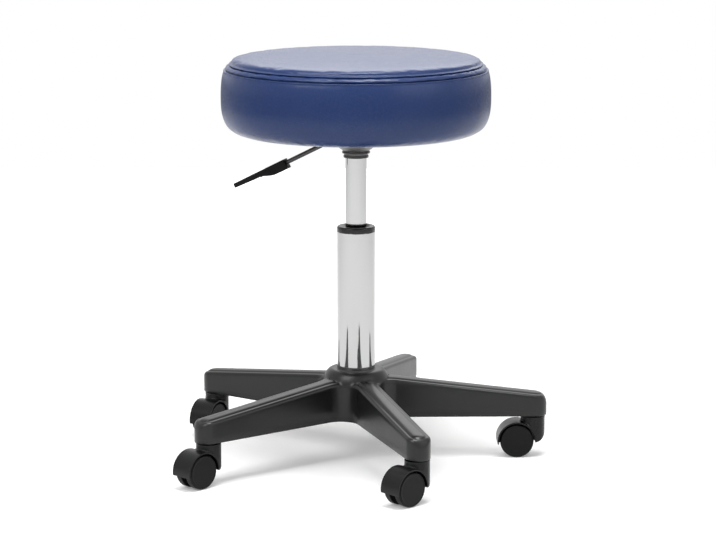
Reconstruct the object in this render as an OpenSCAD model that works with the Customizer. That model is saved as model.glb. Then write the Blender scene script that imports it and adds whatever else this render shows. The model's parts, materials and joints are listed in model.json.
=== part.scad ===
// Rolling stool: round padded seat on a gas lift and a five-arm base with twin-wheel casters.
// Millimetres, +Z up. The origin is on the floor under the column, and the lever points to -X.

/* [Casters] */
// Diameter of each wheel
wheel_d = 45; // [40:1:52]
// Width of one wheel
wheel_w = 10.5; // [8:0.5:14]
// Space between the two wheels of one caster
wheel_gap = 9.5; // [7:0.5:12]
// Distance from the swivel axis back to the axle
caster_trail = 21.8; // [20:0.2:26]
// Diameter of the round neck that takes the stem
neck_d = 32.6; // [29:0.2:34]
// Wall of the hood over the wheels
hood_wall = 1.8; // [1.4:0.2:3]
// Diameter of the steel stem
stem_d = 11; // [9:0.5:12]
// Length of the stem above its shoulder
stem_reach = 23; // [18:1:25]
// Diameter of the steel axle
axle_d = 6; // [5:0.5:8]

/* [Base] */
// Radius of the circle on which the casters swivel
caster_circle_r = 237.3; // [215:1:280]
// Width of an arm
arm_w = 32; // [30:1:38]
// Height of an arm at its tip
arm_tip_h = 32; // [31:1:40]
// Height of an arm where it leaves the hub
arm_root_h = 54.5; // [48:0.5:58]
// Width of the raised ridge along an arm
ridge_w = 22; // [16:1:26]
// Height of that ridge
ridge_h = 2.5; // [1.5:0.5:4]
// Height of the hub
hub_h = 65.5; // [60:0.5:80]
// Wall of the hollow arms
arm_wall = 3.5; // [2.5:0.5:5]
// Thickness of the ribs in the arms
rib_t = 2.5; // [1.5:0.5:4]

/* [Column] */
// Outer diameter of the standing tube
tube_d = 50.8; // [48:0.1:54]
// Wall of the standing tube
tube_wall = 1.6; // [1.2:0.1:2.4]
// Length of the standing tube that shows above the hub
tube_shown = 184.5; // [160:0.5:220]
// Height of the collar on the standing tube
collar_h = 7.5; // [5:0.5:12]
// Length of the guide bush in the standing tube
bush_len = 90; // [70:1:110]

/* [Gas lift] */
// Outer diameter of the pressure tube
lift_d = 28; // [26:0.5:30]
// Wall of the pressure tube
lift_wall = 1.5; // [1.2:0.1:2]
// Diameter of the piston rod
rod_d = 10; // [8:0.5:12]
// Travel of the seat below the height that is modelled
travel_down = 80; // [40:1:90]
// Travel of the seat above the height that is modelled
travel_up = 45; // [20:1:50]
// Gap between collar and socket when the seat is at its lowest
low_gap = 11; // [5:0.5:20]
// Diameter of the release pin
pin_d = 6; // [5:0.5:7]
// How far the release pin stands out of the pressure tube
pin_out = 7.5; // [6:0.5:14]

/* [Seat] */
// Diameter of the seat at its widest
seat_d = 354.6; // [320:0.2:400]
// Thickness of the seat, from the board's underside to the crown
seat_t = 98.5; // [80:0.5:120]
// Thickness of the vinyl cover
cover_t = 1.2; // [0.8:0.1:2]
// Diameter of the plywood board
board_d = 300; // [270:1:320]
// Thickness of the plywood board
board_t = 12; // [10:1:18]
// Depth of the groove at the upper seam
seam_groove = 2; // [1:0.5:3]
// Side of the square mounting plate
plate_w = 150; // [130:1:170]
// Thickness of the mounting plate
plate_t = 2.5; // [2:0.5:4]
// Distance between the bolts of the mounting plate
bolt_pitch = 116; // [100:1:124]
// Diameter of the bolts
bolt_d = 6; // [5:1:8]
// Height of the taper socket under the plate
socket_h = 33; // [30:0.5:40]
// Diameter of the taper socket at its lower end
socket_d = 32.4; // [31:0.2:38]

/* [Lever] */
// Diameter of the lever's rod
lever_d = 6; // [5:0.5:7]
// Direction in which the lever points, seen from above
lever_turn = 163; // [120:1:240]
// Slope of the lever below the horizontal
lever_slope = 27; // [20:1:30]
// Distance from the column's axis to the lever's pivot
pivot_r = 30; // [28:0.5:34]
// Length of the handle
handle_len = 85; // [70:1:100]
// Distance from the column's axis to the handle
handle_r = 94; // [80:1:110]
// Width of the handle
handle_w = 26; // [20:1:34]
// Height of the handle at its thick end
handle_h = 13.6; // [12:0.2:18]

/* [Hidden] */
$fn = 64;

// Clearances and small sizes that several pieces share
run_clear = 0.06;      // shaft in a bore that turns or slides
press_clear = 0.03;    // shaft in a bore that stays put
soft_clear = 0.3;      // foam from what it lies against
overrun = 1;           // how far a cut runs past the face it starts from
arm_count = 5;
arm_step = 360 / arm_count;
arm_turn = 0.9;        // direction of the first arm, which holds caster d

// Each caster stands on one arm, counted round from the first, and has its own heading
CASTERS_ARM = [2, 3, 4, 0, 1];
CASTERS_HEADING = [62.5, 45.8, 43, 0.9, 30];

// Casters
wheel_r = wheel_d / 2;
axle_z = wheel_r;
caster_half_w = wheel_gap / 2 + wheel_w;
hood_gap = 1.9;                       // between wheel and hood
well_r = wheel_r + hood_gap;
hood_r = well_r + hood_wall;
neck_rise = 6.6;                      // neck above the hood's drum
neck_top_z = axle_z + hood_r + neck_rise;
rear_lip_drop = 4;                    // rear lip below the axle
front_drop = 1.2;                     // front edge below the axle
front_low_z = axle_z - front_drop;
hood_proud = 0.75;                    // hood's rim beyond the wheel's outer face
hood_half_w = caster_half_w + hood_proud;
front_round_r = 14;
drum_edge_r = 1;
edge_steps = 3;
corner_steps = 6;
crown_steps = 8;
neck_r = neck_d / 2;
shoulder_drop = 5;                    // hood's shoulders below the drum's top
shoulder_top_z = axle_z + hood_r - shoulder_drop;
shoulder_back_x = -caster_trail / 2;
shoulder_in = 1;
shoulder_half_w = hood_half_w - shoulder_in;
shoulder_share = 0.3;                 // where the shoulders run into the neck
web_clear = 0.6;
web_t = wheel_gap - 2 * web_clear;
boss_wall = 4;
stem_wall = 2;
stem_foot_run = max(0, well_r * well_r - pow(caster_trail - stem_d / 2 - stem_wall, 2));
stem_foot_z = axle_z + sqrt(stem_foot_run) + stem_wall;
disc_wall = 3;                        // wheel's outer disc
tread_t = 4;
tread_round = 2.5;
hub_wall = 3.5;
axle_end_gap = 0.5;

// Base
swivel_gap = 1.5;                     // stem's shoulder between hood and arm
base_z = neck_top_z + swivel_gap;
tip_ahead = 2.5;                      // arm's end circle beyond the swivel axis
arm_tip_x = caster_circle_r + tip_ahead;
tip_turn = 12;                        // where the rounding of the tip's upper corner starts
hub_wall_w = 18.1;                    // hub's wall round the standing tube
hub_r = tube_d / 2 + hub_wall_w;
hub_flare = 1.5;
hub_foot_r = hub_r + hub_flare;
hub_foot_drop = 0.6;                  // hub's foot below the arms
web_share = 0.7;                      // height of the webs in the hub's corners
hub_top_z = base_z + hub_h;
arm_start_in = 13.5;
arm_start_x = hub_r - arm_start_in;   // arm begins inside the hub
arm_slope = atan((arm_root_h - arm_tip_h) / (caster_circle_r - hub_r));
tip_round_r = 9;
arm_roof = 4;
valley_r = 20;                        // fillet between neighbouring arms
valley_steps = 36;
star_in = 0.3;                        // hub's own points end inside the arms
star_half_w = arm_w / 2 - star_in;
valley_foot = (star_half_w + valley_r) / tan(arm_step / 2);
valley_x = (star_half_w + valley_r) / sin(arm_step / 2);
crown_round = 13;                     // rounding of the hub's top, in plan and in height
crown_drop = 20;
crown_r = hub_r - crown_round;
sleeve_wall = 1.5;
sleeve_r = stem_d / 2 + run_clear + sleeve_wall;
stem_top_z = base_z + stem_reach;
sleeve_roof = 1;
shoulder_wall = 3.5;
ring_h = 5;
ring_from_top = 4;
ring_depth = 0.8;
ring_split = 1.6;
rib_turn = 38;
rib_pitch = 34;

// Column
tube_r = tube_d / 2;
foot_step = 0.4;                      // tube's foot is swaged to sit in the hub
tube_foot_r = tube_r - foot_step;
tube_in_r = tube_foot_r - tube_wall;
hub_floor_t = 6;
tube_foot_z = base_z + hub_floor_t;
tube_top_z = hub_top_z + tube_shown;
hub_hole_wall = 8;
hub_hole_r = rod_d / 2 + hub_hole_wall;
collar_top_z = tube_top_z + collar_h;
collar_spigot = 8;
collar_dish = 3.5;
collar_trim = 0.05;                    // collar inside the tube's outline
floor_t = 4;
floor_top_z = tube_foot_z + floor_t;
rod_hole_clear = 0.6;
race_t = 1.5;
race_wall = 9;
race_r = rod_d / 2 + race_wall;
ball_d = 4;
ball_slack = 0.1;
ball_count = 8;
ball_ring_wall = 5.2;
ball_ring_r = rod_d / 2 + ball_ring_wall;
cage_t = 1.2;
cage_clear = 0.15;
cage_rim = 0.9;
lower_race_top_z = floor_top_z + race_t;
upper_race_z = lower_race_top_z + ball_d;

// Gas lift
lift_r = lift_d / 2;
lift_in_r = lift_r - lift_wall;
rod_r = rod_d / 2;
boss_z = collar_top_z + low_gap + travel_down;
seat_z = boss_z + socket_h + plate_t;
taper_share = 0.92;                   // tube's radius at the top of its taper
lift_top_below_plate = 7.5;
lift_top_z = boss_z + socket_h - lift_top_below_plate;
bush_top_z = tube_top_z - collar_spigot;
bush_foot_z = bush_top_z - bush_len;
guide_overlap = 60;                   // tube left in the bush with the seat at its highest
lift_foot_z = bush_top_z - guide_overlap - travel_up;
guide_len = 20;
lift_roof = 4;
piston_h = 18;
piston_over_guide = 6;
piston_z = lift_foot_z + guide_len + travel_up + piston_over_guide;
rod_end = 2;                          // rod beyond the piston
rod_top_z = piston_z + piston_h + rod_end;
seal_h = 4;
seal_depth = 2;
clip_t = 1.5;
clip_wall = 4;
clip_groove = 1;
rod_tail = 1.5;
clip_z = tube_foot_z - clip_t;
rod_shoulder_t = 3;
rod_shoulder_wall = 3;
bump_wall = 6;
bump_gap = 1;
bump_z = upper_race_z + race_t + rod_shoulder_t;
bump_top_z = lift_foot_z - travel_down - bump_gap;
valve_h = 28;
valve_floor = 4;
vent_d = 3;
pin_r = pin_d / 2;
pin_in = 23;
pin_top_z = lift_top_z + pin_out;

// Seat
board_r = board_d / 2;
board_top_z = seat_z + board_t;
board_hole_out = 3;
board_hole_r = pivot_r + board_hole_out;
cover_side_r = seat_d / 2;
bulge = cover_side_r - board_r;       // cover beyond the board's edge
wide_share = 0.44;                    // heights of the widest line and of the seams, of the thickness
upper_seam_share = 0.873;
lower_seam_at_share = 0.783;
upper_round_share = 0.56;
wide_z = seat_z + wide_share * seat_t;
lower_round = wide_z - seat_z + cover_t;
upper_seam_z = seat_z + upper_seam_share * seat_t;
lower_seam_z = seat_z + lower_seam_at_share * seat_t;
seam_in_share = 0.38;
seam_in = seam_in_share * bulge;      // upper seam inside the widest line
stitch_groove = 0.8;
band_puff = 1.4;
crown_rise = 1.6;
top_z = seat_z + seat_t;
shoulder_z = top_z - crown_rise;
upper_round = upper_round_share * seat_t;
hem_w = 24;
hem_r = board_r - hem_w;
curve_steps = 12;
seam_turn = 8;                        // where the top's rounding starts at the seam
lower_seam_share = sqrt(1 - pow((lower_seam_z - wide_z) / upper_round, 2));
lower_seam_r = board_r + bulge * lower_seam_share;
upper_seam_r = cover_side_r - seam_in;
foam_lip = 1.5;
staple_count = 24;
staple_w = 10;
staple_wire = 0.8;
staple_leg = 6;
staple_clear = 0.15;
staple_in = 6;                        // staples from the hem's edge
staple_r = hem_r + staple_in;
plate_corner_r = 12;
plate_hole_wall = 7;
plate_hole_r = lift_d / 2 + plate_hole_wall;
slot_side = 1.5;                      // free space on each side of the lever's rod
slot_w = lever_d + 2 * slot_side;
slot_end_in = 2;
slot_end_r = pivot_r - slot_end_in;
ear_t = 2.5;
ear_gap = 0.5;
ear_clear = 0.3;
ear_w = 13;
ear_h = 15.5;
socket_ring_up = 7;
socket_ring_z = boss_z + socket_ring_up;
socket_ring_h = 3;
socket_ring_out = 2.2;
socket_ring_r = socket_d / 2 + socket_ring_out;
socket_foot_h = 3.5;
socket_foot_r = socket_d / 2;
socket_waist_in = 0.7;
socket_waist_r = socket_foot_r - socket_waist_in;
socket_flare = 10.8;
socket_flare_r = socket_foot_r + socket_flare;
socket_cup_wall = 6;
socket_cup_r = lift_r + socket_cup_wall;
bolt_hole_clear = 0.3;
head_r_share = 0.9;                   // sizes of the bolts' heads, washers and nuts, of their diameter
head_h_share = 0.65;
washer_share = 1.2;
flange_share = 1.58;
bolt_head_r = bolt_d * head_r_share;
bolt_head_h = bolt_d * head_h_share;
washer_r = bolt_d * washer_share;
washer_t = 1.2;
nut_barrel_wall = 1.2;
nut_flange_r = bolt_d * flange_share;
nut_flange_t = 1.2;
nut_len = 9;
bolt_end_gap = 0.8;

// Lever, in its own frame: x runs outwards along the rod from the pivot
lever_r = lever_d / 2;
lever_gap = 0.3;
lever_z = pin_top_z + lever_gap + lever_r / cos(lever_slope) + pin_r * tan(lever_slope);   // rod over the pin
pivot_z = lever_z - pivot_r * tan(lever_slope);
lever_over = 5;                       // rod past the column's axis
lever_pin_d = 4;
lever_pin_r = lever_pin_d / 2;
pivot_boss_wall = 2.6;
pivot_boss_r = lever_pin_r + pivot_boss_wall;
ear_half_gap = lever_r + ear_gap;
pin_end = 2.2;
pin_half = ear_half_gap + ear_t + pin_end;
lever_clip_t = 0.8;
lever_clip_r = lever_pin_d;
clip_groove_share = 0.75;
handle_x = (handle_r - pivot_r) / cos(lever_slope);
handle_top_share = 0.4;               // rod's axis below the handle's top
handle_top = handle_top_share * handle_h;
handle_thick_share = 0.28;            // of the handle's length
handle_ramp_share = 0.48;
handle_blade_share = 0.56;            // heights of the flat blade, of the handle's height
handle_tip_share = 0.46;
handle_bore_share = 0.5;
handle_blade_h = handle_blade_share * handle_h;
handle_tip_h = handle_tip_share * handle_h;
handle_bore = handle_bore_share * handle_len;
handle_root_share = 0.6;              // width where the rod enters
handle_corner_r = 5;

// Points along a quarter or part of an ellipse
function arc_points(cx, cy, rx, ry, from, to, steps) =
    [for (i = [0:steps]) let (a = from + (to - from) * i / steps) [cx + rx * cos(a), cy + ry * sin(a)]];

// Points from a to b that swell outwards by puff half way
function puff_points(a, b, puff, steps) =
    let (d = b - a, n = [d[1], -d[0]] / norm(d))
    [for (i = [0:steps]) let (t = i / steps) a + d * t + n * puff * 4 * t * (1 - t)];

function reversed(list) = [for (i = [len(list) - 1:-1:0]) list[i]];

// Side of the cushion from the hem under the board to the upper seam, a distance in from the outside
function side_line(inset, groove, puff) = concat(
    [[hem_r, seat_z - cover_t + inset]],
    arc_points(board_r, wide_z, bulge - inset, lower_round - inset, -90, 0, curve_steps),
    arc_points(board_r, wide_z, bulge - inset, upper_round, 0, acos(lower_seam_share), curve_steps / 2),
    [[lower_seam_r - inset - groove, lower_seam_z]],
    puff_points([lower_seam_r - inset, lower_seam_z + groove],
                [upper_seam_r - inset - seam_groove, upper_seam_z], puff, curve_steps / 2)
);

// Top of the cushion from the upper seam to the axis
function top_line(inset) = concat(
    [[upper_seam_r - inset - seam_groove, upper_seam_z]],
    arc_points(board_r, upper_seam_z, upper_seam_r - board_r - inset, shoulder_z - upper_seam_z - inset,
               seam_turn, 90, curve_steps),
    [for (i = [1:curve_steps]) let (t = 1 - i / curve_steps)
        [board_r * t, shoulder_z - inset + crown_rise * (1 - t * t)]]
);

module ring(r_in, r_out, h) {
    difference() {
        cylinder(r = r_out, h = h);
        translate([0, 0, -overrun]) cylinder(r = r_in, h = h + 2 * overrun);
    }
}

module on_each_arm() {
    for (i = [0:arm_count - 1]) rotate([0, 0, arm_turn + arm_step * i]) children();
}

module at_each_tip() {
    on_each_arm() translate([caster_circle_r, 0, 0]) children();
}

// Extrudes an outline of the arm's side across the arm
module across(w) {
    rotate([90, 0, 0]) linear_extrude(w, center = true) children();
}

// Height of a line that lies a depth under the ridge
function arm_top(x, depth) = base_z + arm_tip_h - depth + (caster_circle_r - x) * tan(arm_slope);

// Side of an arm below such a line, with the tip's upper corner rounded
module arm_side(depth, x_out, z_foot, round_r) {
    top_z = arm_top(x_out, depth);
    polygon(concat(
        [[arm_start_x, z_foot], [x_out + arm_w, z_foot],
         [x_out + arm_w, top_z - round_r + round_r * sin(tip_turn)]],
        arc_points(x_out - round_r, top_z - round_r, round_r, round_r, tip_turn, 90, corner_steps),
        [[arm_start_x, arm_top(arm_start_x, depth)]]
    ));
}

module arm_plan(w) {
    translate([arm_start_x - overrun, -w / 2]) square([arm_tip_x - arm_start_x + overrun, w]);
    translate([arm_tip_x, 0]) circle(r = w / 2);
}

// One arm: a round-ended bar with a narrower ridge on it
module arm_form() {
    intersection() {
        linear_extrude(hub_top_z) arm_plan(arm_w);
        across(arm_w + 2 * overrun) arm_side(ridge_h, arm_tip_x + arm_w / 2, base_z, tip_round_r);
    }
    intersection() {
        linear_extrude(hub_top_z) arm_plan(ridge_w);
        across(arm_w + 2 * overrun)
            arm_side(0, arm_tip_x + ridge_w / 2, base_z + arm_tip_h / 2, ridge_h);
    }
}

// Hollow in the underside of an arm, crossed by ribs
module arm_hollow() {
    x_in = hub_foot_r + arm_wall;
    x_out = caster_circle_r - sleeve_r - boss_wall;
    in_w = arm_w - 2 * arm_wall;
    rib_count = floor((x_out - x_in) / rib_pitch);
    intersection() {
        linear_extrude(hub_top_z) difference() {
            translate([x_in - overrun, -in_w / 2]) square([x_out - x_in + 2 * overrun, in_w]);
            for (i = [0:rib_count]) translate([x_in + rib_pitch * (i + 0.5), 0])
                for (side = [-1, 1]) rotate(side * rib_turn)
                    translate([-rib_t / 2, -arm_w]) square([rib_t, 2 * arm_w]);
        }
        across(arm_w) polygon([
            [x_in, base_z - overrun], [x_out, base_z - overrun],
            [x_out, arm_top(x_out, ridge_h + arm_roof)], [x_in, arm_top(x_in, ridge_h + arm_roof)]
        ]);
    }
}

// Domed hub, with a filleted web in each corner between the arms
module hub_form() {
    rotate_extrude() polygon(concat(
        [[0, base_z - hub_foot_drop], [hub_foot_r, base_z - hub_foot_drop]],
        arc_points(crown_r, hub_top_z - crown_drop, hub_r - crown_r, crown_drop, 0, 90, crown_steps),
        [[0, hub_top_z]]
    ));
    translate([0, 0, base_z + hub_foot_drop]) linear_extrude(web_share * hub_h) difference() {
        polygon([for (i = [0:arm_count - 1]) each [for (side = [-1, 1])
            let (a = arm_turn + arm_step * i)
            [valley_foot * cos(a) - side * star_half_w * sin(a),
             valley_foot * sin(a) + side * star_half_w * cos(a)]]]);
        for (i = [0:arm_count - 1]) rotate(arm_turn + arm_step * (i + 0.5))
            polygon(arc_points(valley_x, 0, valley_r, valley_r, 0, 360, valley_steps));
        circle(r = arm_start_x);
    }
}

module base_spider() {
    color("#26272a") difference() {
        union() {
            on_each_arm() arm_form();
            hub_form();
        }
        on_each_arm() arm_hollow();
        at_each_tip() translate([0, 0, base_z - overrun])
            cylinder(r = sleeve_r + press_clear, h = stem_reach + sleeve_roof + overrun);
        translate([0, 0, tube_foot_z])
            cylinder(r = tube_foot_r + press_clear, h = hub_h);
        translate([0, 0, base_z - overrun]) cylinder(r = hub_hole_r, h = hub_floor_t + 2 * overrun);
    }
}

module caster_sockets() {
    color("#8c9096") at_each_tip() translate([0, 0, base_z])
        ring(stem_d / 2 + run_clear, sleeve_r, stem_reach + sleeve_roof);
}

module caster_stems() {
    color("silver") at_each_tip() difference() {
        union() {
            translate([0, 0, stem_foot_z]) cylinder(r = stem_d / 2, h = stem_top_z - stem_foot_z);
            translate([0, 0, neck_top_z]) cylinder(r = stem_d / 2 + shoulder_wall, h = swivel_gap);
        }
        translate([0, 0, stem_top_z - ring_from_top - ring_h])
            ring(stem_d / 2 - ring_depth, stem_d, ring_h);
    }
}

module stem_rings() {
    color("#b9bcc0") at_each_tip() translate([0, 0, stem_top_z - ring_from_top - ring_h]) difference() {
        ring(stem_d / 2 - ring_depth, stem_d / 2 + run_clear / 2, ring_h);
        translate([0, -ring_split / 2, -overrun]) cube([stem_d, ring_split, ring_h + 2 * overrun]);
    }
}

module standing_tube() {
    color("#d8dade") difference() {
        union() {
            translate([0, 0, tube_foot_z]) cylinder(r = tube_foot_r, h = tube_top_z - tube_foot_z);
            translate([0, 0, hub_top_z]) cylinder(r = tube_r, h = tube_shown);
        }
        translate([0, 0, tube_foot_z - overrun])
            cylinder(r = tube_in_r, h = tube_top_z - tube_foot_z + 2 * overrun);
    }
}

module tube_floor() {
    color("#8c9096") translate([0, 0, tube_foot_z])
        ring(rod_r + rod_hole_clear, tube_in_r - press_clear, floor_t);
}

module column_collar() {
    color("#1d1e20") difference() {
        union() {
            translate([0, 0, tube_top_z]) cylinder(r = tube_r - collar_trim, h = collar_h);
            translate([0, 0, bush_top_z]) cylinder(r = tube_in_r - press_clear, h = collar_spigot);
        }
        translate([0, 0, bush_top_z - overrun])
            cylinder(r = lift_r + soft_clear, h = collar_h + collar_spigot + 2 * overrun);
        translate([0, 0, collar_top_z - collar_dish])
            cylinder(r1 = lift_r + soft_clear, r2 = lift_r + collar_dish + soft_clear, h = collar_dish);
    }
}

module guide_bush() {
    color("#3a3c40") translate([0, 0, bush_foot_z])
        ring(lift_r + run_clear, tube_in_r - press_clear, bush_len);
}

module lower_race() {
    color("#9a9da2") translate([0, 0, floor_top_z]) ring(rod_r + rod_hole_clear, race_r, race_t);
}

module ball_cage() {
    color("#b08d3c") translate([0, 0, lower_race_top_z + (ball_d - cage_t) / 2]) difference() {
        ring(ball_ring_r - ball_d / 2 - cage_rim, ball_ring_r + ball_d / 2 + cage_rim, cage_t);
        for (i = [0:ball_count - 1]) rotate([0, 0, 360 / ball_count * i])
            translate([ball_ring_r, 0, -overrun])
                cylinder(r = ball_d / 2 + cage_clear, h = cage_t + 2 * overrun);
    }
}

module bearing_balls() {
    color("silver") for (i = [0:ball_count - 1]) rotate([0, 0, 360 / ball_count * i])
        translate([ball_ring_r, 0, lower_race_top_z + ball_d / 2]) sphere(d = ball_d - ball_slack);
}

module upper_race() {
    color("#9a9da2") translate([0, 0, upper_race_z]) ring(rod_r + press_clear, race_r, race_t);
}

module bump_stop() {
    color("#151515") translate([0, 0, bump_z])
        ring(rod_r + soft_clear, rod_r + bump_wall, bump_top_z - bump_z);
}

module piston_rod() {
    color("#c9ccd0") difference() {
        union() {
            translate([0, 0, clip_z - rod_tail]) cylinder(r = rod_r, h = rod_top_z - clip_z + rod_tail);
            translate([0, 0, bump_z - rod_shoulder_t])
                cylinder(r = rod_r + rod_shoulder_wall, h = rod_shoulder_t);
        }
        translate([0, 0, clip_z]) ring(rod_r - clip_groove, rod_r + overrun, clip_t);
    }
}

module rod_clip() {
    color("#55585c") translate([0, 0, clip_z]) difference() {
        ring(rod_r - clip_groove, rod_r + clip_wall, clip_t);
        translate([0, -rod_r / 2, -overrun]) cube([rod_d, rod_r, clip_t + 2 * overrun]);
    }
}

module piston() {
    color("#a7874a") translate([0, 0, piston_z]) difference() {
        ring(rod_r + press_clear, lift_in_r - run_clear, piston_h);
        translate([0, 0, (piston_h - seal_h) / 2])
            ring(lift_in_r - seal_depth, lift_in_r + overrun, seal_h);
    }
}

module piston_seal() {
    color("#151515") translate([0, 0, piston_z + (piston_h - seal_h) / 2])
        ring(lift_in_r - seal_depth, lift_in_r - run_clear / 2, seal_h);
}

module pressure_tube() {
    color("#d8dade") difference() {
        union() {
            translate([0, 0, lift_foot_z]) cylinder(r = lift_r, h = boss_z - lift_foot_z);
            translate([0, 0, boss_z])
                cylinder(r1 = lift_r, r2 = lift_r * taper_share, h = lift_top_z - boss_z);
        }
        translate([0, 0, lift_foot_z - overrun])
            cylinder(r = lift_in_r, h = boss_z - lift_foot_z + overrun);
        translate([0, 0, boss_z]) cylinder(
            r1 = lift_in_r, r2 = lift_r * taper_share - lift_wall, h = lift_top_z - lift_roof - boss_z);
        translate([0, 0, boss_z]) cylinder(r = pin_r + run_clear, h = lift_top_z - boss_z + overrun);
    }
}

module rod_guide() {
    color("#3a3c40") translate([0, 0, lift_foot_z])
        ring(rod_r + run_clear, lift_in_r - press_clear, guide_len);
}

module valve_body() {
    color("#a7874a") translate([0, 0, boss_z - valve_h]) difference() {
        cylinder(r = lift_in_r - press_clear, h = valve_h);
        translate([0, 0, valve_floor]) cylinder(r = pin_r + run_clear, h = valve_h);
        translate([0, 0, -overrun]) cylinder(d = vent_d, h = valve_floor + 2 * overrun);
    }
}

module release_pin() {
    color("silver") translate([0, 0, lift_top_z - lift_roof - pin_in])
        cylinder(r = pin_r, h = pin_top_z - lift_top_z + lift_roof + pin_in);
}

// Slot that the lever's rod needs, cut out along the lever
module lever_slot(z, h) {
    rotate([0, 0, lever_turn]) translate([0, -slot_w / 2, z]) cube([slot_end_r, slot_w, h]);
}

module taper_socket() {
    plate_z = seat_z - plate_t;
    color("#1b1c1e") difference() {
        rotate_extrude() polygon([
            [0, boss_z], [socket_foot_r, boss_z], [socket_foot_r, boss_z + socket_foot_h],
            [socket_waist_r, boss_z + socket_foot_h], [socket_waist_r, socket_ring_z],
            [socket_ring_r, socket_ring_z], [socket_ring_r, socket_ring_z + socket_ring_h],
            [socket_flare_r, plate_z - plate_t], [socket_flare_r, plate_z], [0, plate_z]
        ]);
        translate([0, 0, boss_z - overrun]) cylinder(r = lift_r + press_clear, h = overrun);
        translate([0, 0, boss_z]) cylinder(
            r1 = lift_r + press_clear, r2 = lift_r * taper_share + press_clear, h = lift_top_z - boss_z);
        translate([0, 0, lift_top_z]) cylinder(r = socket_cup_r, h = socket_h);
        lever_slot(pivot_z - lever_r, socket_h);
        rotate([0, 0, lever_turn])
            translate([pivot_r - ear_w / 2 - ear_clear, -ear_half_gap - ear_t - ear_clear,
                       plate_z - ear_h - ear_clear])
                cube([ear_w, 2 * (ear_half_gap + ear_t + ear_clear), socket_h]);
    }
}

module seat_plate() {
    plate_z = seat_z - plate_t;
    half = plate_w / 2 - plate_corner_r;
    color("#1b1c1e") {
        translate([0, 0, plate_z]) difference() {
            union() {
                for (x = [-half, half]) for (y = [-half, half])
                    translate([x, y, 0]) cylinder(r = plate_corner_r, h = plate_t);
                translate([-half, -plate_w / 2, 0]) cube([2 * half, plate_w, plate_t]);
                translate([-plate_w / 2, -half, 0]) cube([plate_w, 2 * half, plate_t]);
            }
            translate([0, 0, -overrun]) cylinder(r = plate_hole_r, h = plate_t + 2 * overrun);
            at_each_bolt(-overrun)
                cylinder(r = bolt_d / 2 + bolt_hole_clear, h = plate_t + 2 * overrun);
            lever_slot(-overrun, plate_t + 2 * overrun);
        }
        rotate([0, 0, lever_turn]) for (side = [-1, 1]) difference() {
            translate([pivot_r - ear_w / 2, side * (ear_half_gap + ear_t / 2) - ear_t / 2, plate_z - ear_h])
                cube([ear_w, ear_t, ear_h]);
            translate([pivot_r, 0, pivot_z]) rotate([90, 0, 0])
                cylinder(r = lever_pin_r + press_clear, h = 4 * pin_half, center = true);
        }
    }
}

module at_each_bolt(z) {
    for (x = [-1, 1]) for (y = [-1, 1])
        translate([x * bolt_pitch / 2, y * bolt_pitch / 2, z]) children();
}

module plate_bolts() {
    plate_z = seat_z - plate_t;
    color("#a9adb2") at_each_bolt(0) {
        translate([0, 0, plate_z - washer_t - bolt_head_h]) cylinder(r = bolt_head_r, h = bolt_head_h, $fn = 6);
        translate([0, 0, plate_z - washer_t]) cylinder(r = washer_r, h = washer_t);
        translate([0, 0, plate_z])
            cylinder(d = bolt_d, h = plate_t + board_t - nut_flange_t - bolt_end_gap);
    }
}

module tee_nuts() {
    color("#b9a46a") at_each_bolt(board_top_z - nut_len) difference() {
        union() {
            cylinder(r = bolt_d / 2 + nut_barrel_wall, h = nut_len);
            translate([0, 0, nut_len - nut_flange_t]) cylinder(r = nut_flange_r, h = nut_flange_t);
        }
        translate([0, 0, -overrun])
            cylinder(r = bolt_d / 2 + press_clear, h = nut_len + 2 * overrun);
    }
}

module at_each_staple() {
    for (i = [0:staple_count - 1]) rotate([0, 0, 360 / staple_count * i])
        translate([staple_r, 0, seat_z - cover_t]) children();
}

// Slots for the staples' legs, up from the hem
module staple_slots() {
    at_each_staple() translate([-staple_wire / 2 - staple_clear, -staple_w / 2 - staple_clear, -overrun])
        cube([staple_wire + 2 * staple_clear, staple_w + 2 * staple_clear,
              staple_leg + staple_clear + overrun]);
}

module seat_board() {
    color("#c9a66b") difference() {
        translate([0, 0, seat_z]) cylinder(r = board_r, h = board_t);
        translate([0, 0, seat_z - overrun]) cylinder(r = board_hole_r, h = board_t + 2 * overrun);
        at_each_bolt(seat_z - overrun)
            cylinder(r = bolt_d / 2 + nut_barrel_wall + press_clear, h = board_t + 2 * overrun);
        at_each_bolt(board_top_z - nut_flange_t)
            cylinder(r = nut_flange_r + press_clear, h = nut_flange_t + overrun);
        staple_slots();
    }
}

module seat_foam() {
    inset = cover_t + soft_clear;
    color("#efe6c8") rotate_extrude() difference() {
        polygon(concat([[0, seat_z + foam_lip]], [[board_r, seat_z + foam_lip]],
            [for (p = side_line(inset, 0, 0)) if (p[1] > seat_z + foam_lip) p], top_line(inset)));
        square([board_r + soft_clear, board_top_z + soft_clear]);
    }
}

module seat_cover_top() {
    color("#2f4a8c") rotate_extrude()
        polygon(concat(top_line(0), reversed(top_line(cover_t))));
}

module seat_cover_band() {
    color("#2f4a8c") difference() {
        rotate_extrude() polygon(concat(
            side_line(0, stitch_groove, band_puff), reversed(side_line(cover_t, 0, band_puff))));
        staple_slots();
    }
}

module cover_staples() {
    color("silver") at_each_staple() {
        translate([-staple_wire / 2, -staple_w / 2, -staple_wire])
            cube([staple_wire, staple_w, staple_wire]);
        for (side = [-1, 1])
            translate([-staple_wire / 2, side * (staple_w - staple_wire) / 2 - staple_wire / 2, -staple_wire])
                cube([staple_wire, staple_wire, staple_leg]);
    }
}

// Places a piece in the lever's frame
module on_lever() {
    rotate([0, 0, lever_turn]) translate([pivot_r, 0, pivot_z]) rotate([0, lever_slope, 0]) children();
}

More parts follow.
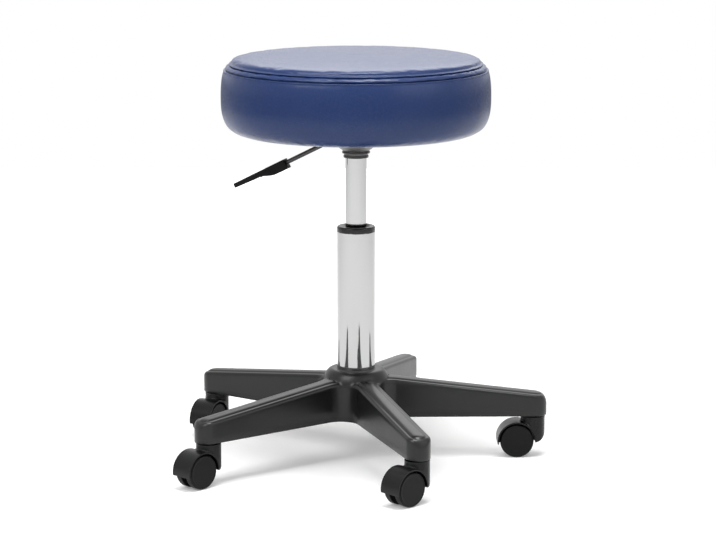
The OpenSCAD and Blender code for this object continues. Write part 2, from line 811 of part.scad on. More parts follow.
module lever_pin() {
    color("#8c9096") on_lever() rotate([90, 0, 0]) difference() {
        cylinder(r = lever_pin_r, h = 2 * pin_half, center = true);
        for (side = [-1, 1])
            translate([0, 0, side * (ear_half_gap + ear_t + lever_clip_t / 2) - lever_clip_t / 2])
                ring(lever_pin_r * clip_groove_share, lever_pin_d, lever_clip_t);
    }
}

module lever_clips() {
    color("#55585c") on_lever() rotate([90, 0, 0]) for (side = [-1, 1])
        translate([0, 0, side * (ear_half_gap + ear_t + lever_clip_t / 2) - lever_clip_t / 2])
            difference() {
                ring(lever_pin_r * clip_groove_share, lever_clip_r, lever_clip_t);
                translate([0, -lever_pin_r / 2, -overrun])
                    cube([lever_pin_d, lever_pin_r, lever_clip_t + 2 * overrun]);
            }
}

module lever_rod() {
    x_in = -(pivot_r + lever_over) / cos(lever_slope);
    x_out = handle_x + handle_bore;
    color("#202124") on_lever() difference() {
        union() {
            translate([x_in, 0, 0]) rotate([0, 90, 0]) cylinder(r = lever_r, h = x_out - x_in);
            rotate([90, 0, 0])
                cylinder(r = pivot_boss_r, h = 2 * (ear_half_gap - ear_gap / 2), center = true);
        }
        rotate([90, 0, 0])
            cylinder(r = lever_pin_r + run_clear, h = 2 * pin_half, center = true);
    }
}

module lever_handle() {
    thick_x = handle_thick_share * handle_len;
    ramp_x = handle_ramp_share * handle_len;
    root_w = handle_root_share * handle_w;
    color("#1d1e20") on_lever() translate([handle_x, 0, 0]) difference() {
        intersection() {
            across(handle_w) polygon([
                [0, handle_top], [0, handle_top - handle_h], [thick_x, handle_top - handle_h],
                [ramp_x, handle_top - handle_blade_h], [handle_len, handle_top - handle_tip_h],
                [handle_len, handle_top]
            ]);
            translate([0, 0, -handle_h]) linear_extrude(2 * handle_h) difference() {
                polygon([
                    [0, -root_w / 2], [thick_x, -root_w / 2], [ramp_x, -handle_w / 2],
                    [handle_len, -handle_w / 2], [handle_len, handle_w / 2],
                    [ramp_x, handle_w / 2], [thick_x, root_w / 2], [0, root_w / 2]
                ]);
                for (side = [-1, 1]) difference() {
                    translate([handle_len - handle_corner_r,
                               side * (handle_w - handle_corner_r) / 2 - handle_corner_r / 2])
                        square([handle_corner_r + overrun, handle_corner_r]);
                    translate([handle_len - handle_corner_r, side * (handle_w / 2 - handle_corner_r)])
                        circle(r = handle_corner_r);
                }
            }
        }
        translate([-overrun, 0, 0]) rotate([0, 90, 0])
            cylinder(r = lever_r + press_clear, h = handle_bore + overrun);
    }
}

// Places a piece in a caster's frame: swivel axis at the origin, axle behind it at -x
module on_caster(i) {
    rotate([0, 0, arm_turn + arm_step * CASTERS_ARM[i]]) translate([caster_circle_r, 0, 0])
        rotate([0, 0, CASTERS_HEADING[i] - arm_turn - arm_step * CASTERS_ARM[i]]) children();
}

// Turns a round piece so that it lies along the axle
module on_axle() {
    translate([-caster_trail, 0, axle_z]) rotate([90, 0, 0]) children();
}

// Drum over the two wheels, with rounded edges
module hood_drum() {
    edge_r = hood_r - drum_edge_r;
    edge_y = hood_half_w - drum_edge_r;
    on_axle() rotate_extrude() polygon(concat(
        [[0, -hood_half_w]],
        arc_points(edge_r, -edge_y, drum_edge_r, drum_edge_r, -90, 0, edge_steps),
        arc_points(edge_r, edge_y, drum_edge_r, drum_edge_r, 0, 90, edge_steps),
        [[0, hood_half_w]]
    ));
}

// Round neck about the stem, and the shoulders that widen back from it to the drum
module hood_neck() {
    foot_z = front_low_z - overrun;
    translate([0, 0, foot_z]) cylinder(r = neck_r, h = neck_top_z - foot_z);
    translate([0, 0, foot_z]) linear_extrude(shoulder_top_z - foot_z)
        polygon([
            [shoulder_back_x, shoulder_half_w], [shoulder_back_x, -shoulder_half_w],
            [neck_r * shoulder_share, -neck_r * (1 - shoulder_share)],
            [neck_r * shoulder_share, neck_r * (1 - shoulder_share)]
        ]);
}

// Everything under the hood's lower edge
module hood_below() {
    far = 4 * hood_r;
    across(far) polygon(concat(
        [[-far, -far], [-far, axle_z - rear_lip_drop], [-caster_trail, axle_z - rear_lip_drop],
         [-caster_trail, front_low_z]],
        arc_points(neck_r - front_round_r, front_low_z + front_round_r, front_round_r, front_round_r,
                   -90, -tip_turn, corner_steps),
        [[far, front_low_z + front_round_r * (1 - sin(tip_turn))], [far, -far]]
    ));
}

module caster_hood(i) {
    color("#17181a") on_caster(i) difference() {
        union() {
            difference() {
                union() {
                    hood_drum();
                    hood_neck();
                }
                hood_below();
                for (side = [-1, 1]) on_axle() translate([0, 0, side * (web_t / 2 + hood_half_w)])
                    cylinder(r = well_r, h = 2 * hood_half_w, center = true);
            }
            on_axle() cylinder(r = axle_d / 2 + boss_wall, h = web_t, center = true);
        }
        on_axle() cylinder(r = axle_d / 2 + press_clear, h = 2 * web_t, center = true);
        translate([0, 0, stem_foot_z])
            cylinder(r = stem_d / 2 + run_clear, h = neck_top_z - stem_foot_z + overrun);
    }
}

module caster_axle(i) {
    half = caster_half_w - disc_wall - axle_end_gap;
    color("silver") on_caster(i) on_axle() cylinder(r = axle_d / 2, h = 2 * half, center = true);
}

// One wheel: rim, hub and a plain outer disc that closes the axle's bore
module caster_wheel(i, side) {
    bore_r = axle_d / 2 + run_clear;
    web_z = wheel_w - disc_wall;
    color("#141517") on_caster(i) on_axle() mirror([0, 0, side > 0 ? 0 : 1])
        translate([0, 0, wheel_gap / 2]) rotate_extrude() polygon(concat(
            [[0, web_z], [bore_r, web_z], [bore_r, 0], [bore_r + hub_wall, 0],
             [bore_r + hub_wall, web_z], [wheel_r - tread_t, web_z], [wheel_r - tread_t, 0]],
            arc_points(wheel_r - tread_round, tread_round, tread_round, tread_round, -90, 0, edge_steps),
            arc_points(wheel_r - tread_round, wheel_w - tread_round, tread_round, tread_round, 0, 90, edge_steps),
            [[0, wheel_w]]
        ));
}

base_spider();
caster_sockets();
caster_stems();
stem_rings();
standing_tube();
tube_floor();
column_collar();
guide_bush();
lower_race();
ball_cage();
bearing_balls();
upper_race();
bump_stop();
piston_rod();
rod_clip();
piston();
piston_seal();
pressure_tube();
rod_guide();
valve_body();
release_pin();
taper_socket();
seat_plate();
plate_bolts();
tee_nuts();
seat_board();
seat_foam();
seat_cover_top();
seat_cover_band();
cover_staples();
lever_pin();
lever_clips();
lever_rod();
lever_handle();
for (i = [0:len(CASTERS_ARM) - 1]) {
    name = str("caster_", "abcde"[i]);
    caster_hood(i);
    caster_axle(i);
    caster_wheel(i, 1);
    caster_wheel(i, -1);
}
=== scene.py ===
# Rolling stool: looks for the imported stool, its floor, light and camera
import json
import math

import bmesh
import bpy
from mathutils import Matrix, Vector, noise


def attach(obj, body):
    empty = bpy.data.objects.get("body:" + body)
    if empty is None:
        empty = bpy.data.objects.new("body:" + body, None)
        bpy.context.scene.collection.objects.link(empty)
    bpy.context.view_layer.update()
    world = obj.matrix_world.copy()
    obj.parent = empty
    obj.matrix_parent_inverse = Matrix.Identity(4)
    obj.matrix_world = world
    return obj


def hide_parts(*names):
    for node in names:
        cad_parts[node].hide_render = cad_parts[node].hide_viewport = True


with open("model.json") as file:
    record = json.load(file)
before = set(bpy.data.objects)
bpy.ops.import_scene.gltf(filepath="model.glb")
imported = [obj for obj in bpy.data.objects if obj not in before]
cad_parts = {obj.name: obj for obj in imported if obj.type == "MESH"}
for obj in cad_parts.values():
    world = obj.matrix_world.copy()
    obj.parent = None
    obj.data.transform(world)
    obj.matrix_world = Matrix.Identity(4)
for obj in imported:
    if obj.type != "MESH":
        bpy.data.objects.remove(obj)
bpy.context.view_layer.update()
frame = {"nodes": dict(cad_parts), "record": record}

cadNodes = frame["nodes"]
mm = 0.001
print("frame loaded:", len(cadNodes), "nodes")


# Node helpers. A Val wraps a socket, and arithmetic on it adds Math nodes.
def connect(tree, slot, value):
    # a Val is linked to the slot, and anything else becomes the slot's own value
    if isinstance(value, Val):
        tree.links.new(value.socket, slot)
    else:
        slot.default_value = (*value, 1) if slot.type == "RGBA" else value


class Val:
    def __init__(self, tree, socket):
        self.tree = tree
        self.socket = socket

    def math(self, operation, *others, flipped=False):
        node = self.tree.nodes.new("ShaderNodeMath")
        node.operation = operation
        terms = [self, *others]
        if flipped:
            terms.reverse()
        for slot, term in zip(node.inputs, terms):
            connect(self.tree, slot, term)
        return Val(self.tree, node.outputs[0])

    def __add__(self, other): return self.math("ADD", other)
    def __radd__(self, other): return self.math("ADD", other)
    def __sub__(self, other): return self.math("SUBTRACT", other)
    def __rsub__(self, other): return self.math("SUBTRACT", other, flipped=True)
    def __mul__(self, other): return self.math("MULTIPLY", other)
    def __rmul__(self, other): return self.math("MULTIPLY", other)
    def __truediv__(self, other): return self.math("DIVIDE", other)
    def clamped(self): return self.math("MAXIMUM", 0.0).math("MINIMUM", 1.0)


class Nodes:
    # One node tree: add() makes any node, settings first, then its sockets; fill() sets or links one socket
    prefix = "ShaderNode"

    def __init__(self, tree):
        self.tree = tree

    def add(self, kind, settings=None, out=0, **values):
        node = self.tree.nodes.new(kind if "Node" in kind else self.prefix + kind)
        for key, setting in (settings or {}).items():
            if key == "stops":
                band = node.color_ramp.elements
                band.remove(band[1])
                for i, (where, colour) in enumerate(setting):
                    stop = band.new(where) if i else band[0]
                    stop.position = where
                    stop.color = (*colour, 1)
            else:
                setattr(node, key, setting)
        for key, value in values.items():
            self.fill(node, key, value)
        return Val(self.tree, node.outputs[out])

    def fill(self, node, key, value):
        wanted = key.replace("_", " ").lower()
        slot = next(s for s in node.inputs if s.enabled and s.name.lower() == wanted)
        for item in (value if isinstance(value, list) else [value]):
            connect(self.tree, slot, item)

    def ray(self, kind):
        return self.add("LightPath", out="Is %s Ray" % kind)


class Finish(Nodes):
    # One material: set() fills the shader's sockets
    def __init__(self, name):
        self.material = bpy.data.materials.new(name)
        self.material.use_nodes = True
        super().__init__(self.material.node_tree)
        self.shader = self.tree.nodes["Principled BSDF"]
        self.place = self.add("TexCoord", out="Object")

    def set(self, **values):
        for key, value in values.items():
            self.fill(self.shader, key, value)

    def grain(self, scale, detail=2.0, roughness=0.5):
        return self.add("TexNoise", Vector=self.place, Scale=scale, Detail=detail, Roughness=roughness)

    def streaks(self, scale):
        return self.add("TexNoise", Vector=self.squeezed(scale), Scale=1.0, Detail=3.0)

    def cells(self, scale, **values):
        return self.add("TexVoronoi", {"feature": "DISTANCE_TO_EDGE"}, Vector=self.place, Scale=scale, **values)

    def squeezed(self, scale):
        return self.add("Mapping", Vector=self.place, Scale=scale)

    def height(self):
        return self.add("SeparateXYZ", out="Z", Vector=self.place)

    def mix(self, factor, a, b):
        mixed = self.add("Mix", {"data_type": "RGBA"}, out=2)
        for i, value in ((0, factor), (6, a), (7, b)):
            connect(self.tree, mixed.socket.node.inputs[i], value)
        return mixed

    def bumps(self, *layers):
        # each layer is (height, strength, distance in metres)
        normal = None
        for height, strength, distance in layers:
            values = {"Height": height, "Strength": strength, "Distance": distance}
            if normal is not None:
                values["Normal"] = normal
            normal = self.add("Bump", **values)
        self.set(Normal=normal)


def mouldedPlastic(name, dark, pale, rough, grainSize=0.0007, grainDepth=0.00003, gloss=0.5):
    # fine moulded grain, cloudy and rubbed in places
    f = Finish(name)
    cloud = f.grain(22, 3)
    pits = f.grain(1 / grainSize, 2)
    rub = f.grain(140, 4, 0.6)
    f.set(Base_Color=f.mix((cloud * 0.6 + rub * 0.4).clamped(), dark, pale),
          Roughness=(rough - 0.06) + rub * 0.08 + cloud * 0.06, Specular_IOR_Level=gloss)
    f.bumps((pits, 0.35, grainDepth), (cloud, 0.15, 0.0002))
    return f.material


def metal(name, colour, rough, brushed=0.0, spots=0.0, smear=0.0, lean=0.0):
    # smear draws reflections out along the piece, as fine polishing lines round it do; lean tips them downwards
    f = Finish(name)
    f.set(Anisotropic=smear, Anisotropic_Rotation=0.25)
    lines = f.streaks((40, 40, 1200))
    cloud = f.grain(60, 4, 0.6)
    stain = tuple(c * 0.72 for c in colour)
    f.set(Base_Color=f.mix((cloud * spots).clamped(), colour, stain), Metallic=1.0,
          Roughness=(rough - 0.03) + lines * (0.02 + brushed * 0.15) + cloud * (spots * 0.12 + 0.02))
    layers = [(lines, 0.1 + brushed * 0.3, 0.00001), (f.grain(900, 2), 0.1, 0.000006)]
    if lean:
        layers.append((f.height(), 1.0, math.tan(math.radians(lean))))
    f.bumps(*layers)
    return f.material


def blackPaint():
    # baked enamel with a fine orange peel, a little worn where it rubs
    f = Finish("blackEnamel")
    peel = f.grain(420, 2)
    dust = f.grain(35, 5, 0.65)
    f.set(Base_Color=f.mix(dust, (0.012, 0.012, 0.013), (0.022, 0.022, 0.024)),
          Roughness=0.2 + dust * 0.12 + peel * 0.05, Coat_Weight=0.3, Coat_Roughness=0.12)
    f.bumps((peel, 0.25, 0.00006))
    return f.material


plyLook = {
    "foot": 0.4408, "veneer": 0.0017, "glue": (0.25, 0.15, 0.08), "glueWidth": 0.22,
    "wood": [(0.0, (0.50, 0.34, 0.19)), (0.55, (0.62, 0.45, 0.27)), (1.0, (0.70, 0.54, 0.35))],
}


def birchPly():
    # rotary cut face veneer, darker glue lines through the thickness
    f = Finish("birchPlywood")
    bend = f.grain(6, 2)
    figure = f.add("TexWave", {"wave_type": "BANDS", "bands_direction": "Y"}, Vector=f.squeezed((1.5, 9, 9)),
                   Scale=3.0, Distortion=9.0, Detail=3.0, Detail_Scale=1.4)
    pores = f.streaks((60, 900, 900))
    ply = ((f.height() - plyLook["foot"]) / plyLook["veneer"] * math.pi).math("SINE").math("ABSOLUTE")
    glue = ((plyLook["glueWidth"] - ply).clamped() * 3.0).clamped()
    wood = f.add("ValToRGB", {"stops": plyLook["wood"]}, Fac=figure * 0.6 + pores * 0.4)
    f.set(Base_Color=f.mix(glue, wood, plyLook["glue"]), Roughness=0.55 + bend * 0.15)
    f.bumps((pores, 0.3, 0.0001))
    return f.material


def openFoam():
    # open cells in yellowish foam
    f = Finish("seatFoam")
    cells = f.cells(900.0)
    patch = f.grain(30, 3)
    f.set(Base_Color=f.mix(patch, (0.80, 0.70, 0.47), (0.87, 0.80, 0.60)), Roughness=0.95)
    f.bumps((cells, 0.6, 0.0004))
    return f.material


def rubber(name, colour):
    # dull, with a pale bloom
    f = Finish(name)
    bloom = f.grain(90, 4, 0.6)
    f.set(Base_Color=f.mix(bloom, colour, tuple(c * 1.8 + 0.004 for c in colour)), Roughness=0.68 + bloom * 0.2)
    f.bumps((f.grain(1500, 2), 0.3, 0.00004))
    return f.material


vinylLook = {
    "deep": (0.0066, 0.0236, 0.100), "worn": (0.0095, 0.0308, 0.122),
    "rough": 0.23, "gloss": 0.34, "pebble": 0.0011,
}


def seatVinyl(s):
    # pressed leather grain: small cushions between fine creases, and a soft cloud in the gloss
    f = Finish("blueVinyl")
    wander = f.grain(160, 2)
    pebbles = f.cells(1 / s["pebble"], Randomness=0.9)
    creases = f.cells(0.35 / s["pebble"], Randomness=1.0)
    cloud = f.grain(9, 3)
    fine = f.grain(2600, 2)
    # the creases between the pebbles: darkened in the base colour as painted shade, and made a little rougher
    creaseShade = (1.0 - pebbles * 6.0).clamped()
    colour = f.mix(cloud, s["deep"], s["worn"])
    f.set(Base_Color=f.mix(creaseShade * 0.35, colour, tuple(c * 0.6 for c in s["deep"])),
          Roughness=(s["rough"] - 0.05) + cloud * 0.08 + creaseShade * 0.1 + fine * 0.04,
          Specular_IOR_Level=s["gloss"])
    f.bumps(((pebbles * 3.0).clamped(), 0.22, 0.00008), ((creases * 2.0).clamped(), 0.12, 0.00012),
            (wander, 0.12, 0.0002))
    return f.material


# plastics: name, darker and paler colour, roughness, size and depth of the grain in metres, gloss
plastics = {
    "base": ("baseNylon", (0.005, 0.005, 0.0052), (0.008, 0.008, 0.0083), 0.3, 0.0006, 0.00004, 0.34),
    "caster": ("casterNylon", (0.003, 0.003, 0.0032), (0.005, 0.005, 0.0053), 0.28, 0.0005, 0.00003, 0.2),
    "wheel": ("wheelNylon", (0.0035, 0.0035, 0.0038), (0.005, 0.005, 0.0054), 0.4, 0.0004, 0.00002, 0.14),
    "handle": ("handlePlastic", (0.004, 0.004, 0.0043), (0.007, 0.007, 0.0074), 0.36, 0.0005, 0.00003, 0.12),
    "collar": ("collarPlastic", (0.010, 0.010, 0.011), (0.015, 0.015, 0.016), 0.22, 0.0008, 0.00001, 0.3),
    "bush": ("bushPlastic", (0.07, 0.07, 0.075), (0.10, 0.10, 0.105), 0.5),
    "cage": ("cagePlastic", (0.30, 0.18, 0.06), (0.36, 0.23, 0.09), 0.5),
}
finishes = {key: mouldedPlastic(*row) for key, row in plastics.items()}
finishes.update({
    "chrome": metal("chromePlate", (0.42, 0.42, 0.42), 0.09, smear=0.5, lean=5.5),
    "steel": metal("zincSteel", (0.56, 0.57, 0.58), 0.34, brushed=0.5, spots=0.5),
    "brass": metal("turnedBrass", (0.72, 0.54, 0.27), 0.3, brushed=0.8, spots=0.3),
    "enamel": blackPaint(),
    "socket": metal("socketSteel", (0.20, 0.20, 0.20), 0.38, brushed=0.3, spots=0.4),
    "ply": birchPly(),
    "foam": openFoam(),
    "bump": rubber("bumpRubber", (0.015, 0.015, 0.015)),
    "vinyl": seatVinyl(vinylLook),
    "thread": rubber("seamThread", (0.012, 0.026, 0.085)),
})
slotFinish = {
    "base_plastic": "base", "caster_plastic": "caster", "wheel_tread": "wheel", "chrome": "chrome",
    "steel": "steel", "black_steel": "enamel", "brass": "brass", "cage_plastic": "cage",
    "collar_plastic": "collar", "bush_plastic": "bush", "bump_rubber": "bump", "lever_plastic": "handle",
    "plywood": "ply", "foam": "foam", "vinyl": "vinyl",
}
gapShadeFinish = {"caster_stems": "enamel"}  # stems given black enamel as painted shade, so the gap over each hood reads dark
for entry in frame["record"]["subparts"]:
    mesh = cadNodes[entry["node"]].data
    mesh.materials.clear()
    mesh.materials.append(finishes[gapShadeFinish.get(entry["node"], slotFinish[entry["material_slot"]])])
print("materials made:", len(finishes))


# Mesh helpers. A shape is (verts, faces) in millimetres, and every piece is made where it stands.
def linked(name, data):
    thing = bpy.data.objects.new(name, data)
    bpy.context.scene.collection.objects.link(thing)
    return thing


def solidMesh(name, shape, near):
    # the shape as a mesh in metres, with doubled points merged and its faces pointing outwards
    mesh = bpy.data.meshes.new(name)
    verts, faces = shape
    mesh.from_pydata([tuple(c * mm for c in v) for v in verts], [], faces)
    return cleaned(mesh, near)


def cleaned(mesh, near=1e-6):
    bm = bmesh.new()
    bm.from_mesh(mesh)
    bmesh.ops.remove_doubles(bm, verts=bm.verts, dist=near)
    bmesh.ops.recalc_face_normals(bm, faces=bm.faces)
    bm.to_mesh(mesh)
    bm.free()
    return mesh


def dressPiece(name, mesh, finish, sharp, body, slotName, hides=()):
    mesh.shade_smooth()
    if sharp:
        mesh.set_sharp_from_angle(angle=math.radians(sharp))
    mesh.materials.clear()
    mesh.materials.append(finishes[finish])
    piece = linked(name, mesh)
    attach(piece, body)
    if hides:
        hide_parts(*hides)
    return piece


def newPiece(name, shape, *look):
    return dressPiece(name, solidMesh(name, shape, 1e-6), *look)


def roughPiece(name, shape, place=None):
    # a form or a cutter, which is taken up by the piece it helps to make
    verts, faces = shape
    return linked(name, solidMesh(name, (moved(verts, place) if place else verts, faces), 1e-7))


def shaped(piece):
    # the piece's mesh with its modifiers applied
    graph = bpy.context.evaluated_depsgraph_get()
    return bpy.data.meshes.new_from_object(piece.evaluated_get(graph), depsgraph=graph)


def settled(piece, name=None):
    # the same as a plain mesh; the piece itself goes
    mesh = shaped(piece)
    mesh.name = name or piece.name
    bpy.data.objects.remove(piece)
    return mesh


def rounded(corners, steps=5):
    # corners are (a, b) or (a, b, radius); a corner with a radius becomes a small curve
    line = []
    count = len(corners)
    for i, corner in enumerate(corners):
        here = Vector(corner[:2])
        if len(corner) < 3 or corner[2] <= 0:
            line.append(tuple(here))
            continue
        before = Vector(corners[i - 1][:2]) - here
        after = Vector(corners[(i + 1) % count][:2]) - here
        reach = min(corner[2], before.length * 0.49, after.length * 0.49)
        a = here + before.normalized() * reach
        b = here + after.normalized() * reach
        for k in range(steps + 1):
            t = k / steps
            line.append(tuple(a * (1 - t) ** 2 + here * (2 * t * (1 - t)) + b * t ** 2))
    return line


def lathe(profile, count, closed=True):
    # spins (radius, height) points about Z; points on the axis become poles
    verts, faces, rings = [], [], []
    for r, z in profile:
        if r < 1e-6:
            rings.append([len(verts)])
            verts.append((0, 0, z))
        else:
            rings.append(list(range(len(verts), len(verts) + count)))
            verts += [(r * math.cos(2 * math.pi * k / count), r * math.sin(2 * math.pi * k / count), z)
                      for k in range(count)]
    pairs = list(zip(rings, rings[1:])) + ([(rings[-1], rings[0])] if closed else [])
    for low, high in pairs:
        if len(low) == 1 and len(high) == 1:
            continue
        for k in range(count):
            j = (k + 1) % count
            quad = [low[k % len(low)], low[j % len(low)], high[j % len(high)], high[k % len(high)]]
            faces.append(list(dict.fromkeys(quad)))
    return verts, faces


def turned(corners, sides, closed=True):
    return lathe(rounded(corners), sides, closed)


def rod(radius, low, high, sides):
    return lathe([(0, low), (radius, low), (radius, high), (0, high)], sides, closed=False)


def oblong(x0, x1, y):
    return [(x0, -y), (x1, -y), (x1, y), (x0, y)]


def tubeFaces(rings, n):
    # quads between rings of n points that follow each other
    quads = []
    for m in range(0, (rings - 1) * n, n):
        quads += [[m + k, m + (k + 1) % n, m + n + (k + 1) % n, m + n + k] for k in range(n)]
    return quads


def moved(verts, matrix):
    return [tuple(matrix @ Vector(v)) for v in verts]


def quarter(axis):
    return Matrix.Rotation(math.radians(90), 4, axis)


def joined(*parts):
    verts, faces = [], []
    for v, f in parts:
        faces += [[i + len(verts) for i in face] for face in f]
        verts += list(v)
    return verts, faces


def prism(outline, low, high):
    # closed prism over an outline in plan; low and high are heights or functions of x and y
    at = lambda h, p: h(*p) if callable(h) else h
    count = len(outline)
    verts = [(*p, at(low, p)) for p in outline] + [(*p, at(high, p)) for p in outline]
    faces = [list(range(count))[::-1], list(range(count, 2 * count))]
    faces += [[i, (i + 1) % count, count + (i + 1) % count, count + i] for i in range(count)]
    return verts, faces


def applied(piece):
    mesh = settled(piece)
    return linked(mesh.name, mesh)


def cutAway(piece, cutter, how="DIFFERENCE"):
    tool = piece.modifiers.new("cut", "BOOLEAN")
    tool.operation = how
    tool.solver = "EXACT"
    tool.object = cutter
    piece = applied(piece)
    bpy.data.objects.remove(cutter)
    return piece


def meshOf(piece):
    # the mesh stays, its object goes
    mesh = piece.data
    bpy.data.objects.remove(piece)
    return mesh


def smoothMax(a, b, blend):
    gap = max(blend - abs(a - b), 0) / blend
    return max(a, b) + gap * gap * blend / 4


# Star base: one closed shell, made from copies of its outline set in step by step
baseShape = {
    "arms": 5, "turn": 0.9, "circleR": 237.3, "tipX": 239.8, "halfW": 16, "footZ": 56.8, "topZ": 122.3,
    "tipH": 32, "slope": 22.5 / 193.8, "ridgeH": 2.5, "edgeR": 4.5, "noseR": 9, "valleyR": 24,
    "crownR": 31, "domeR": 44, "domeDrop": 20, "blend": 4.6, "hubReach": 60, "boreR": 25.03, "floorZ": 62.8,
    "floorHole": 13, "wall": 3.5, "roof": 6.5, "hollowIn": 48.5, "hollowOut": 226.2, "socketR": 7.09,
    "socketTop": 80.8, "ribT": 2.5, "ribTurn": 38, "ribPitch": 34, "ribLetIn": 0.6,
    "sideSteps": 40, "noseSteps": 12, "valleySteps": 48, "hubRings": 22, "boreSides": 48,
    "footEdge": [(1.0, 0.0), (0.3, 0.3), (0.0, 1.0)],  # (inset, height)
    "wallShares": [0.35, 0.7, 0.9],
    "edgeTurns": [0, 15, 30, 45, 60, 75, 90],
    # step up to the ridge: (inset, how far the surface lies below the ridge)
    "ridge": [(4.9, 2.48), (5.4, 2.42), (6.0, 2.22), (6.7, 1.84), (7.4, 1.42), (8.2, 1.02), (9.1, 0.68),
              (10.2, 0.4), (11.5, 0.19), (13.0, 0.06), (14.5, 0.01)],
}


def starBase(s):
    half, valley, tipX = s["halfW"], s["valleyR"], s["tipX"]
    step = 2 * math.pi / s["arms"]
    rootX = (half + valley) / math.tan(step / 2)
    valleyX = (half + valley) / math.sin(step / 2)
    shell = bmesh.new()

    def outline(inset):
        # one round of the star, set in from its edge
        points = []
        sideX = [rootX + (tipX - rootX) * (i / s["sideSteps"]) for i in range(s["sideSteps"] + 1)]

        def nose(turn, t):
            points.append(turn @ Vector((tipX + (half - inset) * math.cos(t), (half - inset) * math.sin(t))))
        for k in range(s["arms"]):
            a = math.radians(s["turn"]) + step * k
            turn = Matrix.Rotation(a, 2)
            for i in range(s["noseSteps"]):
                nose(turn, math.pi / 2 * i / s["noseSteps"])
            points += [turn @ Vector((x, half - inset)) for x in reversed(sideX)]
            middle = Matrix.Rotation(a + step / 2, 2) @ Vector((valleyX, 0))
            for i in range(1, s["valleySteps"]):
                t = a - math.pi / 2 - (math.pi - step) * i / s["valleySteps"]
                points.append(middle + (valley + inset) * Vector((math.cos(t), math.sin(t))))
            turn = Matrix.Rotation(a + step, 2)
            points += [turn @ Vector((x, -half + inset)) for x in sideX]
            for i in range(1, s["noseSteps"]):
                nose(turn, math.pi / 2 * (i / s["noseSteps"] - 1))
        return points

    def crest(r):
        return s["footZ"] + s["tipH"] + (s["circleR"] - r) * s["slope"]

    def ridgeLine(r):
        nose = max(r - (tipX + half - s["noseR"]), 0)
        return crest(r) - (s["noseR"] - math.sqrt(max(s["noseR"] ** 2 - nose ** 2, 0)))

    def dome(r):
        share = min(max(r - s["crownR"], 0) / (s["domeR"] - s["crownR"]), 1)
        return s["topZ"] - s["domeDrop"] * (1 - math.sqrt(1 - share ** 2)) if share < 1 else 0

    def top(p, drop):
        # the ridge, blended into the hub's dome near the middle
        r = p.length
        line = ridgeLine(r) - drop
        return min(smoothMax(line, dome(r), s["blend"]), s["topZ"]) if r < s["hubReach"] else line

    def ring(points):
        return [shell.verts.new(Vector(p)) for p in points]

    def bridge(low, high):
        for a in range(len(low)):
            b = (a + 1) % len(low)
            shell.faces.new([low[a], low[b], high[b], high[a]])
        return high

    # foot, wall, rounded edge, step and ridge
    foot, edge = s["footZ"], s["edgeR"]
    turns = [math.radians(t) for t in s["edgeTurns"]]
    levels = [(edge * (1 - math.cos(t)), s["ridgeH"] + edge * (1 - math.sin(t))) for t in turns]
    levels += s["ridge"] + [(half, 0.0)]
    edgeLine = outline(0)
    rings = [ring([(*p, foot + height) for p in outline(inset)]) for inset, height in s["footEdge"]]
    wallTop = [top(p, levels[0][1]) for p in edgeLine]
    for share in s["wallShares"]:
        rings.append(ring([(*p, foot + 1 + (z - foot - 1) * share) for p, z in zip(edgeLine, wallTop)]))
    for inset, drop in levels:
        rings.append(ring([(*p, top(p, drop)) for p in outline(inset)]))
    for low, high in zip(rings, rings[1:]):
        bridge(low, high)

    # from the innermost ring over the dome to the tube's bore, and down to the hole in its floor
    middle = [(i, p) for i, p in enumerate(outline(half)) if p.length < rootX + 1e-3]
    hub = [rings[-1][i] for i, p in middle]
    for k in range(1, s["hubRings"] + 1):
        inward = [p.normalized() * (p.length + (s["boreR"] - p.length) * k / s["hubRings"]) for i, p in middle]
        hub = bridge(hub, ring([(*q, top(q, 0) if k < s["hubRings"] else s["topZ"]) for q in inward]))
    for r, z in ((s["boreR"], s["floorZ"]), (s["floorHole"], s["floorZ"]), (s["floorHole"], foot)):
        hub = bridge(hub, ring([(*(p.normalized() * r), z) for i, p in middle]))
    bottomLoops = [hub, rings[0]]

    # the hollow of each arm, and its socket for the caster's stem
    def pocket(points, roof):
        low = ring([(*p, foot) for p in points])
        shell.faces.new(bridge(low, ring([(*p, roof(p)) for p in points])))
        bottomLoops.append(low)

    inner = half - s["wall"]
    plan = rounded([(x, y, r) for (x, y), r in zip(oblong(s["hollowIn"], s["hollowOut"], inner), (3, 4, 4, 3))])
    for k in range(s["arms"]):
        turn = Matrix.Rotation(math.radians(s["turn"]) + step * k, 2)
        axis = turn @ Vector((1, 0))
        pocket([turn @ Vector(p) for p in plan], lambda p: crest(p.dot(axis)) - s["roof"])
        seat = turn @ Vector((s["circleR"], 0))
        around = [math.pi * i / (s["boreSides"] / 2) for i in range(s["boreSides"])]
        pocket([seat + s["socketR"] * Vector((math.cos(t), math.sin(t))) for t in around], lambda p: s["socketTop"])
    rims = []
    for loop in bottomLoops:
        for a, b in zip(loop, loop[1:] + loop[:1]):
            rim = shell.edges.get((a, b))
            if rim and rim not in rims:
                rims.append(rim)
    bmesh.ops.remove_doubles(shell, verts=rings[-1], dist=2e-3)
    bmesh.ops.dissolve_degenerate(shell, edges=shell.edges, dist=1e-4)
    rims = [e for e in rims if e.is_valid]
    bmesh.ops.triangle_fill(shell, edges=rims, use_beauty=True, use_dissolve=False)

